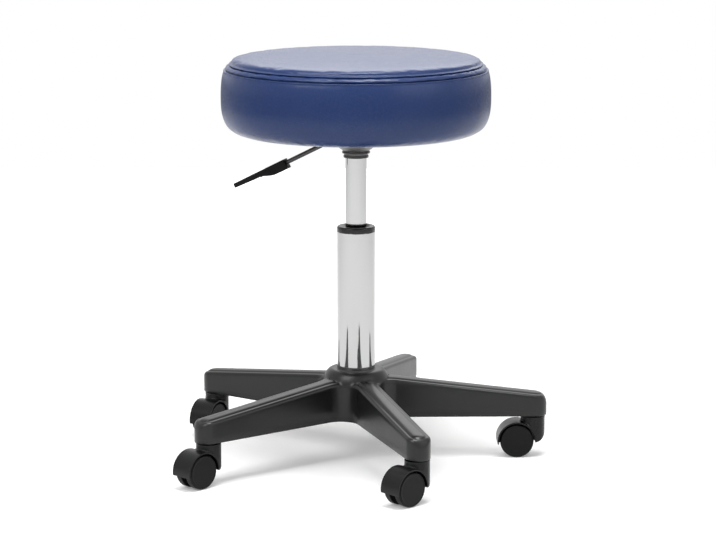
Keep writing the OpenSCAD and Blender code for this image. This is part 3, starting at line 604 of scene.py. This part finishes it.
    # crossed ribs, let into the walls
    for k in range(s["arms"]):
        arm = Matrix.Rotation(math.radians(s["turn"]) + step * k, 4, "Z")
        mid = s["hollowIn"] + s["ribPitch"] / 2
        while mid < s["hollowOut"] - 6:
            for side in (-1, 1):
                lean = math.radians(s["ribTurn"] * side)
                reach = (inner + s["ribLetIn"]) / math.cos(lean)
                flat = [Matrix.Rotation(lean, 2) @ Vector(c) + Vector((mid, 0))
                        for c in oblong(-s["ribT"] / 2, s["ribT"] / 2, reach)]
                flat = [(min(q.x, s["hollowOut"] + 1), q.y) for q in flat]
                verts, faces = prism(flat, foot + 1.2, lambda x, y: crest(x) - s["roof"] + 1)
                made = ring(moved(verts, arm))
                for face in faces:
                    shell.faces.new([made[i] for i in face])
            mid += s["ribPitch"]
    bmesh.ops.recalc_face_normals(shell, faces=shell.faces)
    mesh = bpy.data.meshes.new("starBase")
    bmesh.ops.scale(shell, vec=(mm, mm, mm), verts=shell.verts)
    shell.to_mesh(mesh)
    openEdges = sum(1 for e in shell.edges if not e.is_manifold)
    shell.free()
    print("star base:", len(mesh.polygons), "faces,", openEdges, "open edges")
    dressPiece("starBase", mesh, "base", 50, "base", "base_plastic", ["base_spider"])


starBase(baseShape)


# Column: standing tube, its collar, the gas spring's tube and the taper socket
columnShape = {
    "sides": 160, "tubeR": 25.4, "footR": 25.0, "boreR": 23.4, "footZ": 62.8, "hubZ": 122.3, "topZ": 306.8,
    "collarTop": 314.3, "collarR": 25.35, "spigotZ": 298.8, "spigotR": 23.37, "liftR": 14, "liftBore": 12.5,
    "liftFoot": 193.8, "socketZ": 405.3, "liftTop": 430.8, "taperR": 12.88, "taperTopBore": 11.38, "capT": 4,
    "pinBore": 3.06, "socketSides": 96, "socketR": 16.2, "plateZ": 438.3, "flareR": 27, "recessR": 20,
    "slotLength": 28, "slotHalf": 4.5, "earLength": 13, "earDrop": 15.8, "cutTop": 460,
    # rings laid round the socket: (inside, outside, low, high, rounding) from socketR and socketZ
    "rings": [(1.0, 2.25, 5.8, 8.4, 0.6), (-0.5, 0.35, 0.15, 3.1, 0.4)],
}


def column(s):
    n, dish = s["sides"], s["liftR"] + 0.3
    tube = [(s["footR"], s["footZ"]), (s["footR"], s["hubZ"] - 0.4, 0.3), (s["tubeR"], s["hubZ"], 0.4),
            (s["tubeR"], s["topZ"], 0.5), (s["boreR"], s["topZ"], 0.3), (s["boreR"], s["footZ"])]
    newPiece("standingTube", turned(tube, n), "chrome", 40, "base", "chrome", ["standing_tube"])
    r, top = s["collarR"], s["collarTop"]
    collar = [(dish, s["spigotZ"]), (s["spigotR"], s["spigotZ"], 0.6), (s["spigotR"], s["topZ"]),
              (r, s["topZ"], 0.4), (r, top - 2.2, 0.8), (r - 1.2, top, 1.4), (dish + 5.5, top, 1.2),
              (dish, top - 3.6, 0.8)]
    newPiece("columnCollar", turned(collar, n), "collar", 40, "base", "collar_plastic", ["column_collar"])
    top, cap = s["liftTop"], s["liftTop"] - s["capT"]
    lift = [(s["liftBore"], s["liftFoot"]), (s["liftR"], s["liftFoot"], 0.8), (s["liftR"], s["socketZ"]),
            (s["taperR"], top, 0.5), (s["pinBore"], top), (s["pinBore"], cap), (s["taperTopBore"], cap),
            (s["liftBore"], s["socketZ"])]
    newPiece("gasTube", turned(lift, n), "chrome", 40, "seat", "chrome", ["pressure_tube"])


def taperSocket(s):
    # turned steel socket with a rolled bead, opened on one side for the lever and its ears
    r, z, flare, plate = s["socketR"], s["socketZ"], s["flareR"], s["plateZ"]
    top, n = s["liftTop"] + 0.02, s["socketSides"]
    line = [(s["liftR"] + 0.03, z), (r, z, 0.8), (r, z + 3.4, 0.5), (r - 0.8, z + 4.2, 0.5), (r - 0.8, z + 5.3, 0.4),
            (r + 2.1, z + 5.9, 0.8), (r + 2.1, z + 8.2, 0.9), (r + 1.0, z + 8.9, 0.5), (r + 2.4, z + 10.2, 1.5),
            (flare - 4, z + 13.2, 3), (flare, z + 18, 3), (flare, plate, 0.2), (s["recessR"], plate),
            (s["recessR"], top, 0.5), (s["taperR"] + 0.03, top)]
    socket = roughPiece("taperSocket", turned(line, n))
    turn = Matrix.Rotation(math.radians(leverShape["turn"]), 4, "Z")
    ears = leverShape["pivotR"] - 6.8
    for name, plan, low in (
            ("slotCutter", oblong(0, s["slotLength"], s["slotHalf"]), leverShape["pivotZ"] - 3),
            ("earCutter", oblong(ears, ears + s["earLength"], leverShape["bossHalf"] + 3.05), plate - s["earDrop"])):
        socket = cutAway(socket, roughPiece(name, prism(plan, low, s["cutTop"]), turn))
    dressPiece("taperSocketShell", cleaned(meshOf(socket)), "socket", 35, "seat", "steel", ["taper_socket"])
    over = [turned([(r + a, z + low), (r + b, z + low, soft), (r + b, z + high, soft), (r + a, z + high)], n)
            for a, b, low, high, soft in s["rings"]]
    newPiece("socketRings", joined(*over), "enamel", 35, "seat", "black_steel")


# Lever: turned rod with its pivot boss, and a paddle handle lofted along it
leverShape = {
    "turn": 163, "slope": 27, "pivotR": 30, "pivotZ": 428.21, "rodR": 3, "over": 5, "bossR": 4.6, "bossHalf": 3.25,
    "boreR": 2.06, "handleX": 74.3, "length": 78.4, "width": 26, "neckW": 15.6, "high": 13.6, "topShare": 0.4,
    "bladeShare": 0.56, "tipShare": 0.46, "rodIn": 42.5,
}


def leverFrame(s):
    return (Matrix.Rotation(math.radians(s["turn"]), 4, "Z") @ Matrix.Translation((s["pivotR"], 0, s["pivotZ"]))
            @ Matrix.Rotation(math.radians(s["slope"]), 4, "Y"))


def leverRod(s):
    place = leverFrame(s)
    across = place @ quarter("X")
    start, end = -(s["pivotR"] + s["over"]) / math.cos(math.radians(s["slope"])), s["handleX"] + s["rodIn"]
    bar = turned([(0, start), (s["rodR"], start, 0.8), (s["rodR"], end, 0.4), (0, end)], 40, closed=False)
    bar = roughPiece("leverRodBar", bar, place @ quarter("Y"))
    r, half = s["bossR"], s["bossHalf"]
    boss = turned([(0, -half), (r, -half, 0.4), (r, half, 0.4), (0, half)], 40, closed=False)
    bar = cutAway(bar, roughPiece("leverBoss", boss, across), "UNION")
    bar = cutAway(bar, roughPiece("leverBore", rod(s["boreR"], -9, 9, 40), across))
    dressPiece("leverBar", cleaned(meshOf(bar)), "enamel", 35, "lever", "black_steel", ["lever_rod"])


def leverHandle(s):
    # stations along the handle: share of the length, width, top, bottom, corner radius
    top = s["topShare"] * s["high"]
    thick = top - s["high"]
    blade = top - s["bladeShare"] * s["high"]
    tip = top - s["tipShare"] * s["high"]
    w, n = s["width"], s["neckW"]
    stations = [
        (0.0, n - 1.2, top - 0.5, thick + 0.5, 1.0), (0.004, n - 0.4, top - 0.15, thick + 0.15, 1.2),
        (0.012, n, top, thick, 1.4), (0.10, n, top, thick, 1.4), (0.20, n + 0.3, top, thick, 1.4),
        (0.27, n + 1.4, top, thick + 0.2, 1.4), (0.32, n + 3.2, top, thick + 1.2, 1.4),
        (0.38, n + 6.2, top, thick * 0.5 + blade * 0.5, 1.3), (0.44, w - 1.6, top, blade - 0.9, 1.3),
        (0.49, w - 0.5, top, blade - 0.1, 1.3), (0.55, w, top, blade, 1.3),
        (0.70, w, top, blade + (tip - blade) * 0.35, 1.3),
        (0.85, w, top, blade + (tip - blade) * 0.7, 1.3), (0.94, w, top, tip, 1.3),
        (0.975, w - 1.0, top, tip, 1.3), (0.990, w - 2.6, top - 0.2, tip + 0.2, 1.2),
        (0.997, w - 4.4, top - 0.6, tip + 0.6, 1.0), (1.0, w - 6, top - 1.1, tip + 1.1, 0.7),
    ]
    verts = []
    for share, width, high, low, soft in stations:
        ring = rounded([(-width / 2, low, soft), (width / 2, low, soft), (width / 2, high, soft),
                        (-width / 2, high, soft)], 6)
        verts += [(share * s["length"], y, z) for y, z in ring]
    faces = tubeFaces(len(stations), len(ring))
    faces += [list(range(len(ring))), list(range(len(verts) - len(ring), len(verts)))]
    place = leverFrame(s) @ Matrix.Translation((s["handleX"], 0, 0))
    handle = roughPiece("handleForm", (verts, faces), place)
    bore = rod(s["rodR"] + 0.05, -2, s["rodIn"] + 0.1, 40)
    handle = cutAway(handle, roughPiece("handleBore", bore, place @ quarter("Y")))
    dressPiece("leverPaddle", cleaned(meshOf(handle)), "handle", 50, "lever", "lever_plastic", ["lever_handle"])


column(columnShape)
taperSocket(columnShape)
leverRod(leverShape)
leverHandle(leverShape)
print("column and lever made")


# Casters: one hood and one wheel, copied to the five places
casterShape = {
    "trail": 21.8, "axleZ": 22.5, "wheelR": 22.5, "wheelW": 10.5, "halfGap": 4.75, "wellR": 24.4, "hoodR": 26.2,
    "halfW": 16, "neckR": 16.3, "neckTop": 55.3, "frontR": 14, "frontDrop": 1.2, "rearDrop": 4, "webHalf": 4.15,
    "bossR": 7, "axleBore": 3.03, "stemR": 5.56, "stemFoot": 44.27, "discWall": 3, "circleR": 237.3,
    "wheelBore": 3.06, "wheelHub": 6.5, "sides": 128, "voxel": 0.0008, "rubs": 12, "spare": 6,
    # each caster's arm and heading
    "places": {"a": (2, 62.5), "b": (3, 45.8), "c": (4, 43.0), "d": (0, 0.9), "e": (1, 30.0)},
}


def casterAxle(s):
    return Matrix.Translation((-s["trail"], 0, s["axleZ"])) @ quarter("X")


def casterPlace(s, key):
    arm, heading = s["places"][key]
    a = math.radians(baseShape["turn"] + 360 / baseShape["arms"] * arm)
    return (Matrix.Translation((s["circleR"] * math.cos(a), s["circleR"] * math.sin(a), 0))
            @ Matrix.Rotation(math.radians(heading), 4, "Z"))


def hoodMesh(s):
    axle = casterAxle(s)
    rim, spare, web, sides = s["halfW"], s["spare"], s["webHalf"], s["sides"]
    low, high = s["axleZ"] - s["frontDrop"] - spare, s["neckTop"] + spare
    drum = rod(s["hoodR"], -rim - spare, rim + spare, sides)
    neck = rod(s["neckR"], low, high, 96)
    # the sides of the neck run tangentially into the drum
    back, side = -s["trail"] * 0.55, rim - 0.6
    touch = math.atan2(side, back) - math.acos(s["neckR"] / math.hypot(side, back))
    front = (s["neckR"] * math.cos(touch), s["neckR"] * math.sin(touch))
    wings = prism([(back, -side), (front[0], -front[1]), front, (back, side)], low,
                  lambda x, y: s["axleZ"] + s["hoodR"] * (0.80 + 0.12 * (x - back) / (front[0] - back)))
    form = roughPiece("hoodForm", joined((moved(drum[0], axle), drum[1]), neck, wings))
    grid = form.modifiers.new("grid", "REMESH")
    grid.mode = "VOXEL"
    grid.voxel_size = s["voxel"]
    grid.use_smooth_shade = True
    soft = form.modifiers.new("soft", "SMOOTH")
    soft.factor = 0.5
    soft.iterations = s["rubs"]
    form = applied(form)
    # the ends of drum and neck are trimmed flat, so their edges stay crisp
    step, wide, neckTop = s["axleZ"] + s["hoodR"], rim + 0.5, s["neckTop"]
    trim = [(-rim, -60), (rim, -60), (rim, step), (wide, step + 1), (wide, neckTop),
            (-wide, neckTop), (-wide, step + 1), (-rim, step)]
    flat = Matrix(((0, 0, 1, 0), (1, 0, 0, 0), (0, 1, 0, 0), (0, 0, 0, 1)))
    form = cutAway(form, roughPiece("hoodTrim", prism(trim, -120, 90), flat), "INTERSECT")
    # everything under the hood's lower edge goes
    x, lip, rear = s["neckR"] - s["frontR"], s["axleZ"] - s["frontDrop"], s["axleZ"] - s["rearDrop"]
    curve = [(x + s["frontR"] * math.sin(t), lip + s["frontR"] * (1 - math.cos(t)))
             for t in (math.radians(degrees) for degrees in range(0, 85, 6))]
    under = [(-120, -60), (-120, rear), (-s["trail"], rear), (-s["trail"], lip), *curve, (90, curve[-1][1]), (90, -60)]
    form = cutAway(form, roughPiece("hoodUnder", prism(under, -80, 80), quarter("X")))
    # two wheel wells, the axle's boss, and the bores for axle and stem
    for flip in (1, -1):
        well = roughPiece("wellCutter", rod(s["wellR"], web, 60, sides), axle @ Matrix.Scale(flip, 4, (0, 0, 1)))
        form = cutAway(form, well)
    form = cutAway(form, roughPiece("hoodBoss", rod(s["bossR"], -web, web, 48), axle), "UNION")
    form = cutAway(form, roughPiece("axleBore", rod(s["axleBore"], -9, 9, 40), axle))
    form = cutAway(form, roughPiece("stemBore", rod(s["stemR"], s["stemFoot"], 70, 40)))
    return meshOf(form)


def wheelProfile(s):
    # hub, web and rim with a nylon tread; the outer disc is plain with a soft edge
    r, w, bore, hub = s["wheelR"], s["wheelW"], s["wheelBore"], s["wheelHub"]
    disc = w - s["discWall"]
    return [
        (0, disc), (bore, disc), (bore, 0), (hub, 0, 0.4), (hub, disc - 0.5, 1.0), (r - 4, disc - 0.5, 1.2),
        (r - 4, 0, 0.5), (r, 0, 1.6), (r, 1.6, 0.4), (r - 0.02, w * 0.5), (r, w - 2.0, 1.0), (r - 1.7, w, 1.8),
        (r - 2.6, w - 0.02, 0.3), (r - 3.0, w - 0.22, 0.3), (r - 5.0, w - 0.28, 0.5), (0, w - 0.12),
    ]


def casters(s):
    hood = hoodMesh(s)
    wheel = turned(wheelProfile(s), 144, False)
    for key in s["places"]:
        place = casterPlace(s, key)
        mesh = hood.copy()
        for matrix in (Matrix.Diagonal((1 / mm, 1 / mm, 1 / mm, 1)), place, Matrix.Diagonal((mm, mm, mm, 1))):
            mesh.transform(matrix)
        caster = "caster_" + key
        dressPiece("casterHood_" + key, cleaned(mesh), "caster", 38, caster, "caster_plastic", [caster + "_hood"])
        for side, flip in (("l", -1), ("r", 1)):
            seat = place @ casterAxle(s) @ Matrix.Scale(flip, 4, (0, 0, 1)) @ Matrix.Translation((0, 0, s["halfGap"]))
            end = "_%s_%s" % (key, side)
            newPiece("casterWheel" + end, (moved(wheel[0], seat), wheel[1]), "wheel", 40, "wheel" + end,
                     "wheel_tread", [caster + "_wheel_" + side])


casters(casterShape)
print("casters made")


# Seat: foam core, and a cover of top panel, puffed band and side panel, blown out by cloth simulation
seatShape = {
    "footZ": 440.8, "thick": 98.5, "edgeR": 176.6, "boardR": 150, "boardT": 12.7, "hemR": 126, "coverT": 1.2,
    "sides": 288, "wideShare": 0.42, "squareLow": 2.35, "squareUp": 2.7, "lipR": 2.0,
    "seamTopR": 163.6, "seamTopZ": 528.2, "seamLowR": 169.6, "seamLowZ": 521.9,
    # hem under the board, from hemR and footZ: (outward, upward)
    "hem": [(0, -0.05), (0.1, -0.9), (6, -1.1), (15, -1.15)],
    "lowTurns": [-90, -87, -83, -78, -72, -66, -59, -52, -45, -38, -31, -24, -17, -10, -4],
    # side panel's lip over the lower seam: (outward, share of its height)
    "lip": [(0.35, 0.1), (0.6, 0.4), (0.5, 0.75), (0.05, 0.98)],
    # puffed band between the seams: (share of the way up, puff)
    "band": [(0.05, 1.5), (0.14, 2.5), (0.26, 3.1), (0.40, 3.3), (0.55, 3.2), (0.68, 2.9), (0.79, 2.3), (0.88, 1.4)],
    "bandOut": 0.88, "bandUp": 0.42,
    # top panel's edge, from the seam inwards: (radius, below the crown, pin)
    "topEdge": [(165.6, 12.0, 0.6), (166.4, 11.3, 0.4), (166.0, 10.6, 0.3), (164.7, 10.1, 0.3), (163.3, 9.6, 0.4),
                (162.8, 8.8, 0.4), (162.6, 7.6, 0.3), (161.8, 6.4, 0.2), (160.2, 5.3, 0.1), (157.0, 4.5, 0),
                (152.0, 3.9, 0), (146.0, 3.4, 0)],
    "crown": 3.4, "proud": 1.3, "slack": 0.004, "pressure": 1.4, "stretch": 0.0006, "frames": 20,
    "quality": 6, "mass": 0.35, "pull": 25, "shear": 12, "bending": 4, "coverFill": 0.9, "foamFill": 1.0,
}


def seatLine(s):
    # the cover's section from the hem under the board round to the middle of the top, in (radius, height, pin)
    foot, thick = s["footZ"], s["thick"]
    bulge = s["edgeR"] - s["boardR"]
    wideZ = foot + s["wideShare"] * thick
    line = [(s["hemR"] + out, foot + up, 1) for out, up in s["hem"]]

    def swell(turn, high, square):
        # a rounder or squarer quarter of an oval
        c, d = math.cos(turn), math.sin(turn)
        return (s["boardR"] + bulge * max(c, 0) ** (2 / square),
                wideZ + high * math.copysign(abs(d) ** (2 / square), d))
    for t in s["lowTurns"]:
        line.append((*swell(math.radians(t), wideZ - foot + s["coverT"], s["squareLow"]), 0.9 if t < -80 else 0))
    upH = (1 - s["wideShare"]) * thick
    lowR, low, high, topR, lip = s["seamLowR"], s["seamLowZ"], s["seamTopZ"], s["seamTopR"], s["lipR"]
    last = math.asin(((low - lip - wideZ) / upH) ** (s["squareUp"] / 2))
    for k in range(13):
        line.append((*swell(last * (k / 12) ** 1.3, upH, s["squareUp"]), 0.2 if k == 12 else 0))
    # both seams are held at the bottom of a groove, with the lip, the band and the rolled edge beside it
    foldR = line[-1][0]
    line += [(foldR + out, low - lip + lip * up, 0.4) for out, up in s["lip"]]
    line += [(lowR + 1.0, low - 0.1, 0.9), (lowR, low - 0.2, 1), (lowR, low + 0.4, 1)]
    for share, puff in s["band"]:
        line.append((lowR + (topR - lowR) * share + puff * s["bandOut"],
                     low + (high - low) * share + puff * s["bandUp"], 0.15))
    line += [(topR + 1.0, high + 0.25, 0.9), (topR, high, 1), (topR, high + 0.5, 1)]
    # the top panel's rolled edge and its slightly crowned middle
    topZ = foot + thick + s["proud"]
    line += [(r, topZ - drop, pin) for r, drop, pin in s["topEdge"]]
    flatR = s["topEdge"][-1][0]
    line += [(flatR * (1 - k / 24), topZ - s["crown"] * (1 - k / 24) ** 2, 0) for k in range(1, 24)]
    return line + [(0, topZ, 0)]


def puckered(s, line):
    # the revolve of the section with small puckers drawn into the seams and pleats in the hem
    n, boardR = s["sides"], s["boardR"]
    verts, pins = [], []
    for r, z, pin in line[:-1]:
        nearLow = math.exp(-((z - s["seamLowZ"]) / 7) ** 2) if r > boardR else 0
        nearTop = math.exp(-((z - s["seamTopZ"]) / 5) ** 2) if r > boardR else 0
        hem = max(0.0, 1 - abs(z - s["footZ"]) / 9) if r < boardR + 12 and z < s["footZ"] + 9 else 0
        hem *= (r > s["hemR"] + 3) * min(max((boardR - 3 - r) / 9, 0), 1)
        for k in range(n):
            a = 2 * math.pi * k / n
            c, d = math.cos(a), math.sin(a)
            fine = noise.noise(Vector((c * 23, d * 23, z * 0.03)))
            coarse = noise.noise(Vector((c * 5, d * 5, z * 0.012 + 7)))
            pleat = abs(noise.noise(Vector((c * 16, d * 16, 3.7)))) * 2
            out = (fine * 0.3 * (nearLow + nearTop * 0.7) + coarse * 0.35 * (r > boardR)) * (1 - pin)
            verts.append(((r + out) * c, (r + out) * d, z - hem * pleat * 0.7))
            pins.append(pin)
    verts.append((0, 0, line[-1][1]))
    last = (len(line) - 2) * n
    faces = tubeFaces(len(line) - 1, n) + [[last + k, last + (k + 1) % n, last + n] for k in range(n)]
    return verts, faces, pins


def inflate(piece, pins, s):
    # air pressure inside the cover, held at its seams and hem; the capped result is applied
    mesh = piece.data
    rest = [v.co.copy() for v in mesh.vertices]
    group = piece.vertex_groups.new(name="seams")
    for i, pin in enumerate(pins):
        if pin:
            group.add([i], pin, "REPLACE")
    cover = piece.modifiers.new("cover", "CLOTH")
    cloth = cover.settings
    cloth.quality = s["quality"]
    cloth.mass = s["mass"]
    cloth.tension_stiffness = cloth.compression_stiffness = s["pull"]
    cloth.shear_stiffness = s["shear"]
    cloth.bending_stiffness = s["bending"]
    cloth.shrink_min = -s["slack"]
    cloth.use_pressure = True
    cloth.uniform_pressure_force = s["pressure"]
    cloth.vertex_group_mass = "seams"
    cloth.effector_weights.gravity = 0
    cover.point_cache.frame_start = 1
    cover.point_cache.frame_end = s["frames"]
    for frameNumber in range(1, s["frames"] + 1):
        bpy.context.scene.frame_set(frameNumber)
    blown = shaped(piece)
    piece.modifiers.clear()
    bpy.context.scene.frame_set(1)
    for v, new, old in zip(mesh.vertices, blown.vertices, rest):
        step = new.co - old
        v.co = old + (step * (s["stretch"] / step.length) if step.length > s["stretch"] else step)
    bpy.data.meshes.remove(blown)


def seatCover(s):
    verts, faces, pins = puckered(s, seatLine(s))
    piece = roughPiece("seatCover", (verts, faces))
    inflate(piece, pins, s)
    fine = piece.modifiers.new("fine", "SUBSURF")
    fine.levels = fine.render_levels = 1
    cover = dressPiece("seatCoverSewn", settled(piece, "seatCoverSewn"), "vinyl", None, "seat", "vinyl",
                       ["seat_cover_top", "seat_cover_band"])
    # the foam fills the cover loosely: a plain rounded block, well inside the seams
    top, foot, board = s["footZ"] + s["thick"] - 4.5, s["footZ"] + 3, s["footZ"] + s["boardT"]
    side, well = s["edgeR"] - 4.5, s["boardR"] + 0.4
    core = [(well, foot), (s["boardR"] + 12, foot, 9), (side, foot + 22, 22), (side, s["seamLowZ"] - 16, 22),
            (s["seamTopR"] - 9, top - 3, 12), (20, top, 20), (0, top), (0, board), (well, board)]
    foam = newPiece("foamBlock", turned(core, 144), "foam", 60, "seat", "foam", ["seat_foam"])


seatCover(seatShape)
print("seat made")


# Repeats: geometry node trees, each turned into one plain mesh
class Maker(Nodes):
    prefix = "GeometryNode"

    def __init__(self, name, sizes):
        super().__init__(bpy.data.node_groups.new(name, "GeometryNodeTree"))
        self.sizes = sizes
        kinds = {float: "NodeSocketFloat", int: "NodeSocketInt"}
        for label, size in sizes.items():
            self.tree.interface.new_socket(label, in_out="INPUT", socket_type=kinds[type(size)])
        self.tree.interface.new_socket("Geometry", in_out="OUTPUT", socket_type="NodeSocketGeometry")
        self.given = self.tree.nodes.new("NodeGroupInput")

    def size(self, label):
        return Val(self.tree, self.given.outputs[label])

    def vector(self, x=0.0, y=0.0, z=0.0):
        return self.add("ShaderNodeCombineXYZ", X=x, Y=y, Z=z)

    def placed(self, shape, move=(0, 0, 0), turn=(0, 0, 0), size=(1, 1, 1)):
        return self.add("Transform", Geometry=shape, Translation=move, Rotation=turn, Scale=size)

    def finish(self, shape, finish, *look):
        # realized, given its material and made one plain mesh
        shape = self.add("RealizeInstances", Geometry=shape)
        shape = self.add("SetMaterial", Geometry=shape, Material=finishes[finish])
        self.tree.links.new(shape.socket, self.tree.nodes.new("NodeGroupOutput").inputs[0])
        name = self.tree.name
        holder = linked(name, bpy.data.meshes.new(name))
        nodes = holder.modifiers.new("maker", "NODES")
        nodes.node_group = self.tree
        for item in self.tree.interface.items_tree:
            if item.in_out == "INPUT":
                nodes[item.identifier] = self.sizes[item.name]
        return dressPiece(name, settled(holder), finish, *look)


stitchShape = {"radius": 0.1702, "height": 0.5201, "count": 268, "long": 0.0029, "thick": 0.00042}


def seamStitches(s):
    # short beads of thread in a ring, turned along the seam
    m = Maker("seamStitches", s)
    ring = m.add("CurvePrimitiveCircle", Resolution=96, Radius=m.size("radius"))
    points = m.add("CurveToPoints", {"mode": "COUNT"}, out="Points", Curve=ring, Count=m.size("count"))
    bead = m.add("MeshUVSphere", Segments=8, Rings=6, Radius=0.5)
    bead = m.placed(bead, size=m.vector(m.size("thick"), m.size("thick"), m.size("long")))
    turns = Val(m.tree, points.socket.node.outputs["Rotation"])
    row = m.add("InstanceOnPoints", Points=points, Instance=bead, Rotation=turns)
    m.finish(m.placed(row, move=m.vector(z=m.size("height"))), "thread", None, "seat", "vinyl")


boltShape = {
    "pitch": 0.116, "seat": 0.4383, "headR": 0.0054, "headH": 0.0039, "washerR": 0.0072, "washerT": 0.0012,
    "shankR": 0.003, "shankL": 0.0125, "crownShare": 0.18, "crownTaper": 0.86,
}


def plateBolts(s):
    # four hexagon bolts with chamfered heads and washers, hanging under the plate
    m = Maker("plateBoltSet", s)
    grid = m.add("MeshGrid", Size_X=m.size("pitch"), Size_Y=m.size("pitch"), Vertices_X=2, Vertices_Y=2)
    headH, headR, washerT = m.size("headH"), m.size("headR"), m.size("washerT")
    crown = headH * m.size("crownShare")
    main = headH - crown

    def drum(sides, radius, depth, middle):
        shape = m.add("MeshCylinder", Vertices=sides, Radius=radius, Depth=depth)
        return m.placed(shape, move=m.vector(z=middle))
    head = drum(6, headR, main, 0 - washerT - main / 2)
    tip = m.add("MeshCone", Vertices=6, Radius_Top=headR * m.size("crownTaper"), Radius_Bottom=headR, Depth=crown)
    tip = m.placed(tip, move=m.vector(z=0 - washerT - main), turn=(math.pi, 0, 0))
    washer = drum(40, m.size("washerR"), washerT, 0 - washerT / 2)
    shank = drum(24, m.size("shankR"), m.size("shankL"), m.size("shankL") / 2)
    bolt = m.add("JoinGeometry", Geometry=[head, tip, washer, shank])
    row = m.placed(m.add("InstanceOnPoints", Points=grid, Instance=bolt), move=m.vector(z=m.size("seat")))
    m.finish(row, "steel", 30, "seat", "steel", ["plate_bolts"])


seamStitches(stitchShape)
plateBolts(boltShape)
print("repeats made")


# Floor, light and camera
stageShape = {
    "floorHalf": 2.6, "floorColour": (0.88, 0.88, 0.88), "glow": 0.2, "farGlow": 0.75, "fadeFrom": 0.7, "fadeTo": 2.0,
    "skyLight": 0.36, "roomLight": 0.35, "horizonSoft": 0.06,
    # lamps: power, side and place; all look at aim
    "lamps": {"keyLamp": (52, 1.8, (-1.6, -1.7, 2.6)), "topLamp": (74, 1.3, (0.15, -0.4, 3.0)),
              "fillLamp": (15, 2.2, (2.2, -1.6, 1.8)), "rimLamp": (20, 2.0, (0.4, 2.4, 2.2))},
    "aim": (0, 0, 0.25), "lens": 127.26, "sensor": 36, "eye": (0.00257, -3.3, 0.8868), "tilt": 79.149,
}


def paleFloor(s):
    half = s["floorHalf"]
    mesh = bpy.data.meshes.new("studioFloor")
    mesh.from_pydata([(x, y, 0) for x, y in oblong(-half, half, half)], [], [[0, 1, 2, 3]])
    look = Finish("paleFloor")
    look.set(Base_Color=s["floorColour"], Roughness=0.9, Specular_IOR_Level=0.0)
    seen = (look.ray("Camera") + look.ray("Glossy") + look.ray("Transmission")).clamped()
    # to the camera the floor glows more farther out, so that it runs into the white sky
    away = look.add("VectorMath", {"operation": "LENGTH"}, out="Value", Vector=look.place) - s["fadeFrom"]
    away = (away / (s["fadeTo"] - s["fadeFrom"])).clamped() * look.ray("Camera")
    glow = look.add("Emission", Color=look.mix(away, (s["glow"],) * 3, (s["farGlow"],) * 3), Strength=seen)
    both = look.add("AddShader")
    for slot, shade in zip(both.socket.node.inputs, (Val(look.tree, look.shader.outputs[0]), glow)):
        connect(look.tree, slot, shade)
    look.fill(look.tree.nodes["Material Output"], "Surface", both)
    mesh.materials.append(look.material)
    linked("studioFloor", mesh)


def softSky(s):
    # white to the camera; reflections see a white sky above the horizon and a duller room below it
    world = bpy.data.worlds.new("studioSky")
    world.use_nodes = True
    bpy.context.scene.world = world
    sky = Nodes(world.node_tree)
    seen = (sky.ray("Camera") + sky.ray("Transmission")).clamped()
    upward = sky.add("SeparateXYZ", out="Z", Vector=sky.add("TexCoord", out="Generated"))
    room = s["roomLight"] + (upward / s["horizonSoft"] + 1.0).clamped() * (1 - s["roomLight"])
    mirrored = sky.ray("Glossy")
    light = seen + (1 - seen) * (mirrored * room + (1 - mirrored) * s["skyLight"])
    back = sky.tree.nodes["Background"]
    sky.fill(back, "Color", (1, 1, 1))
    sky.fill(back, "Strength", light)


def lampsAndCamera(s):
    for name, (power, side, place) in s["lamps"].items():
        lamp = bpy.data.lights.new(name, "AREA")
        lamp.energy = power
        lamp.size = side
        holder = linked(name, lamp)
        holder.location = place
        holder.rotation_euler = (Vector(s["aim"]) - Vector(place)).to_track_quat("-Z", "Y").to_euler()
    lens = bpy.data.cameras.new("photoCamera")
    lens.lens = s["lens"]
    lens.sensor_width = s["sensor"]
    lens.sensor_fit = "HORIZONTAL"
    lens.clip_end = 100
    camera = linked("photoCamera", lens)
    camera.location = s["eye"]
    camera.rotation_euler = (math.radians(s["tilt"]), 0, 0)
    bpy.context.scene.camera = camera
    bpy.context.scene.view_settings.view_transform = "Standard"


paleFloor(stageShape)
softSky(stageShape)
lampsAndCamera(stageShape)

print("scene complete")
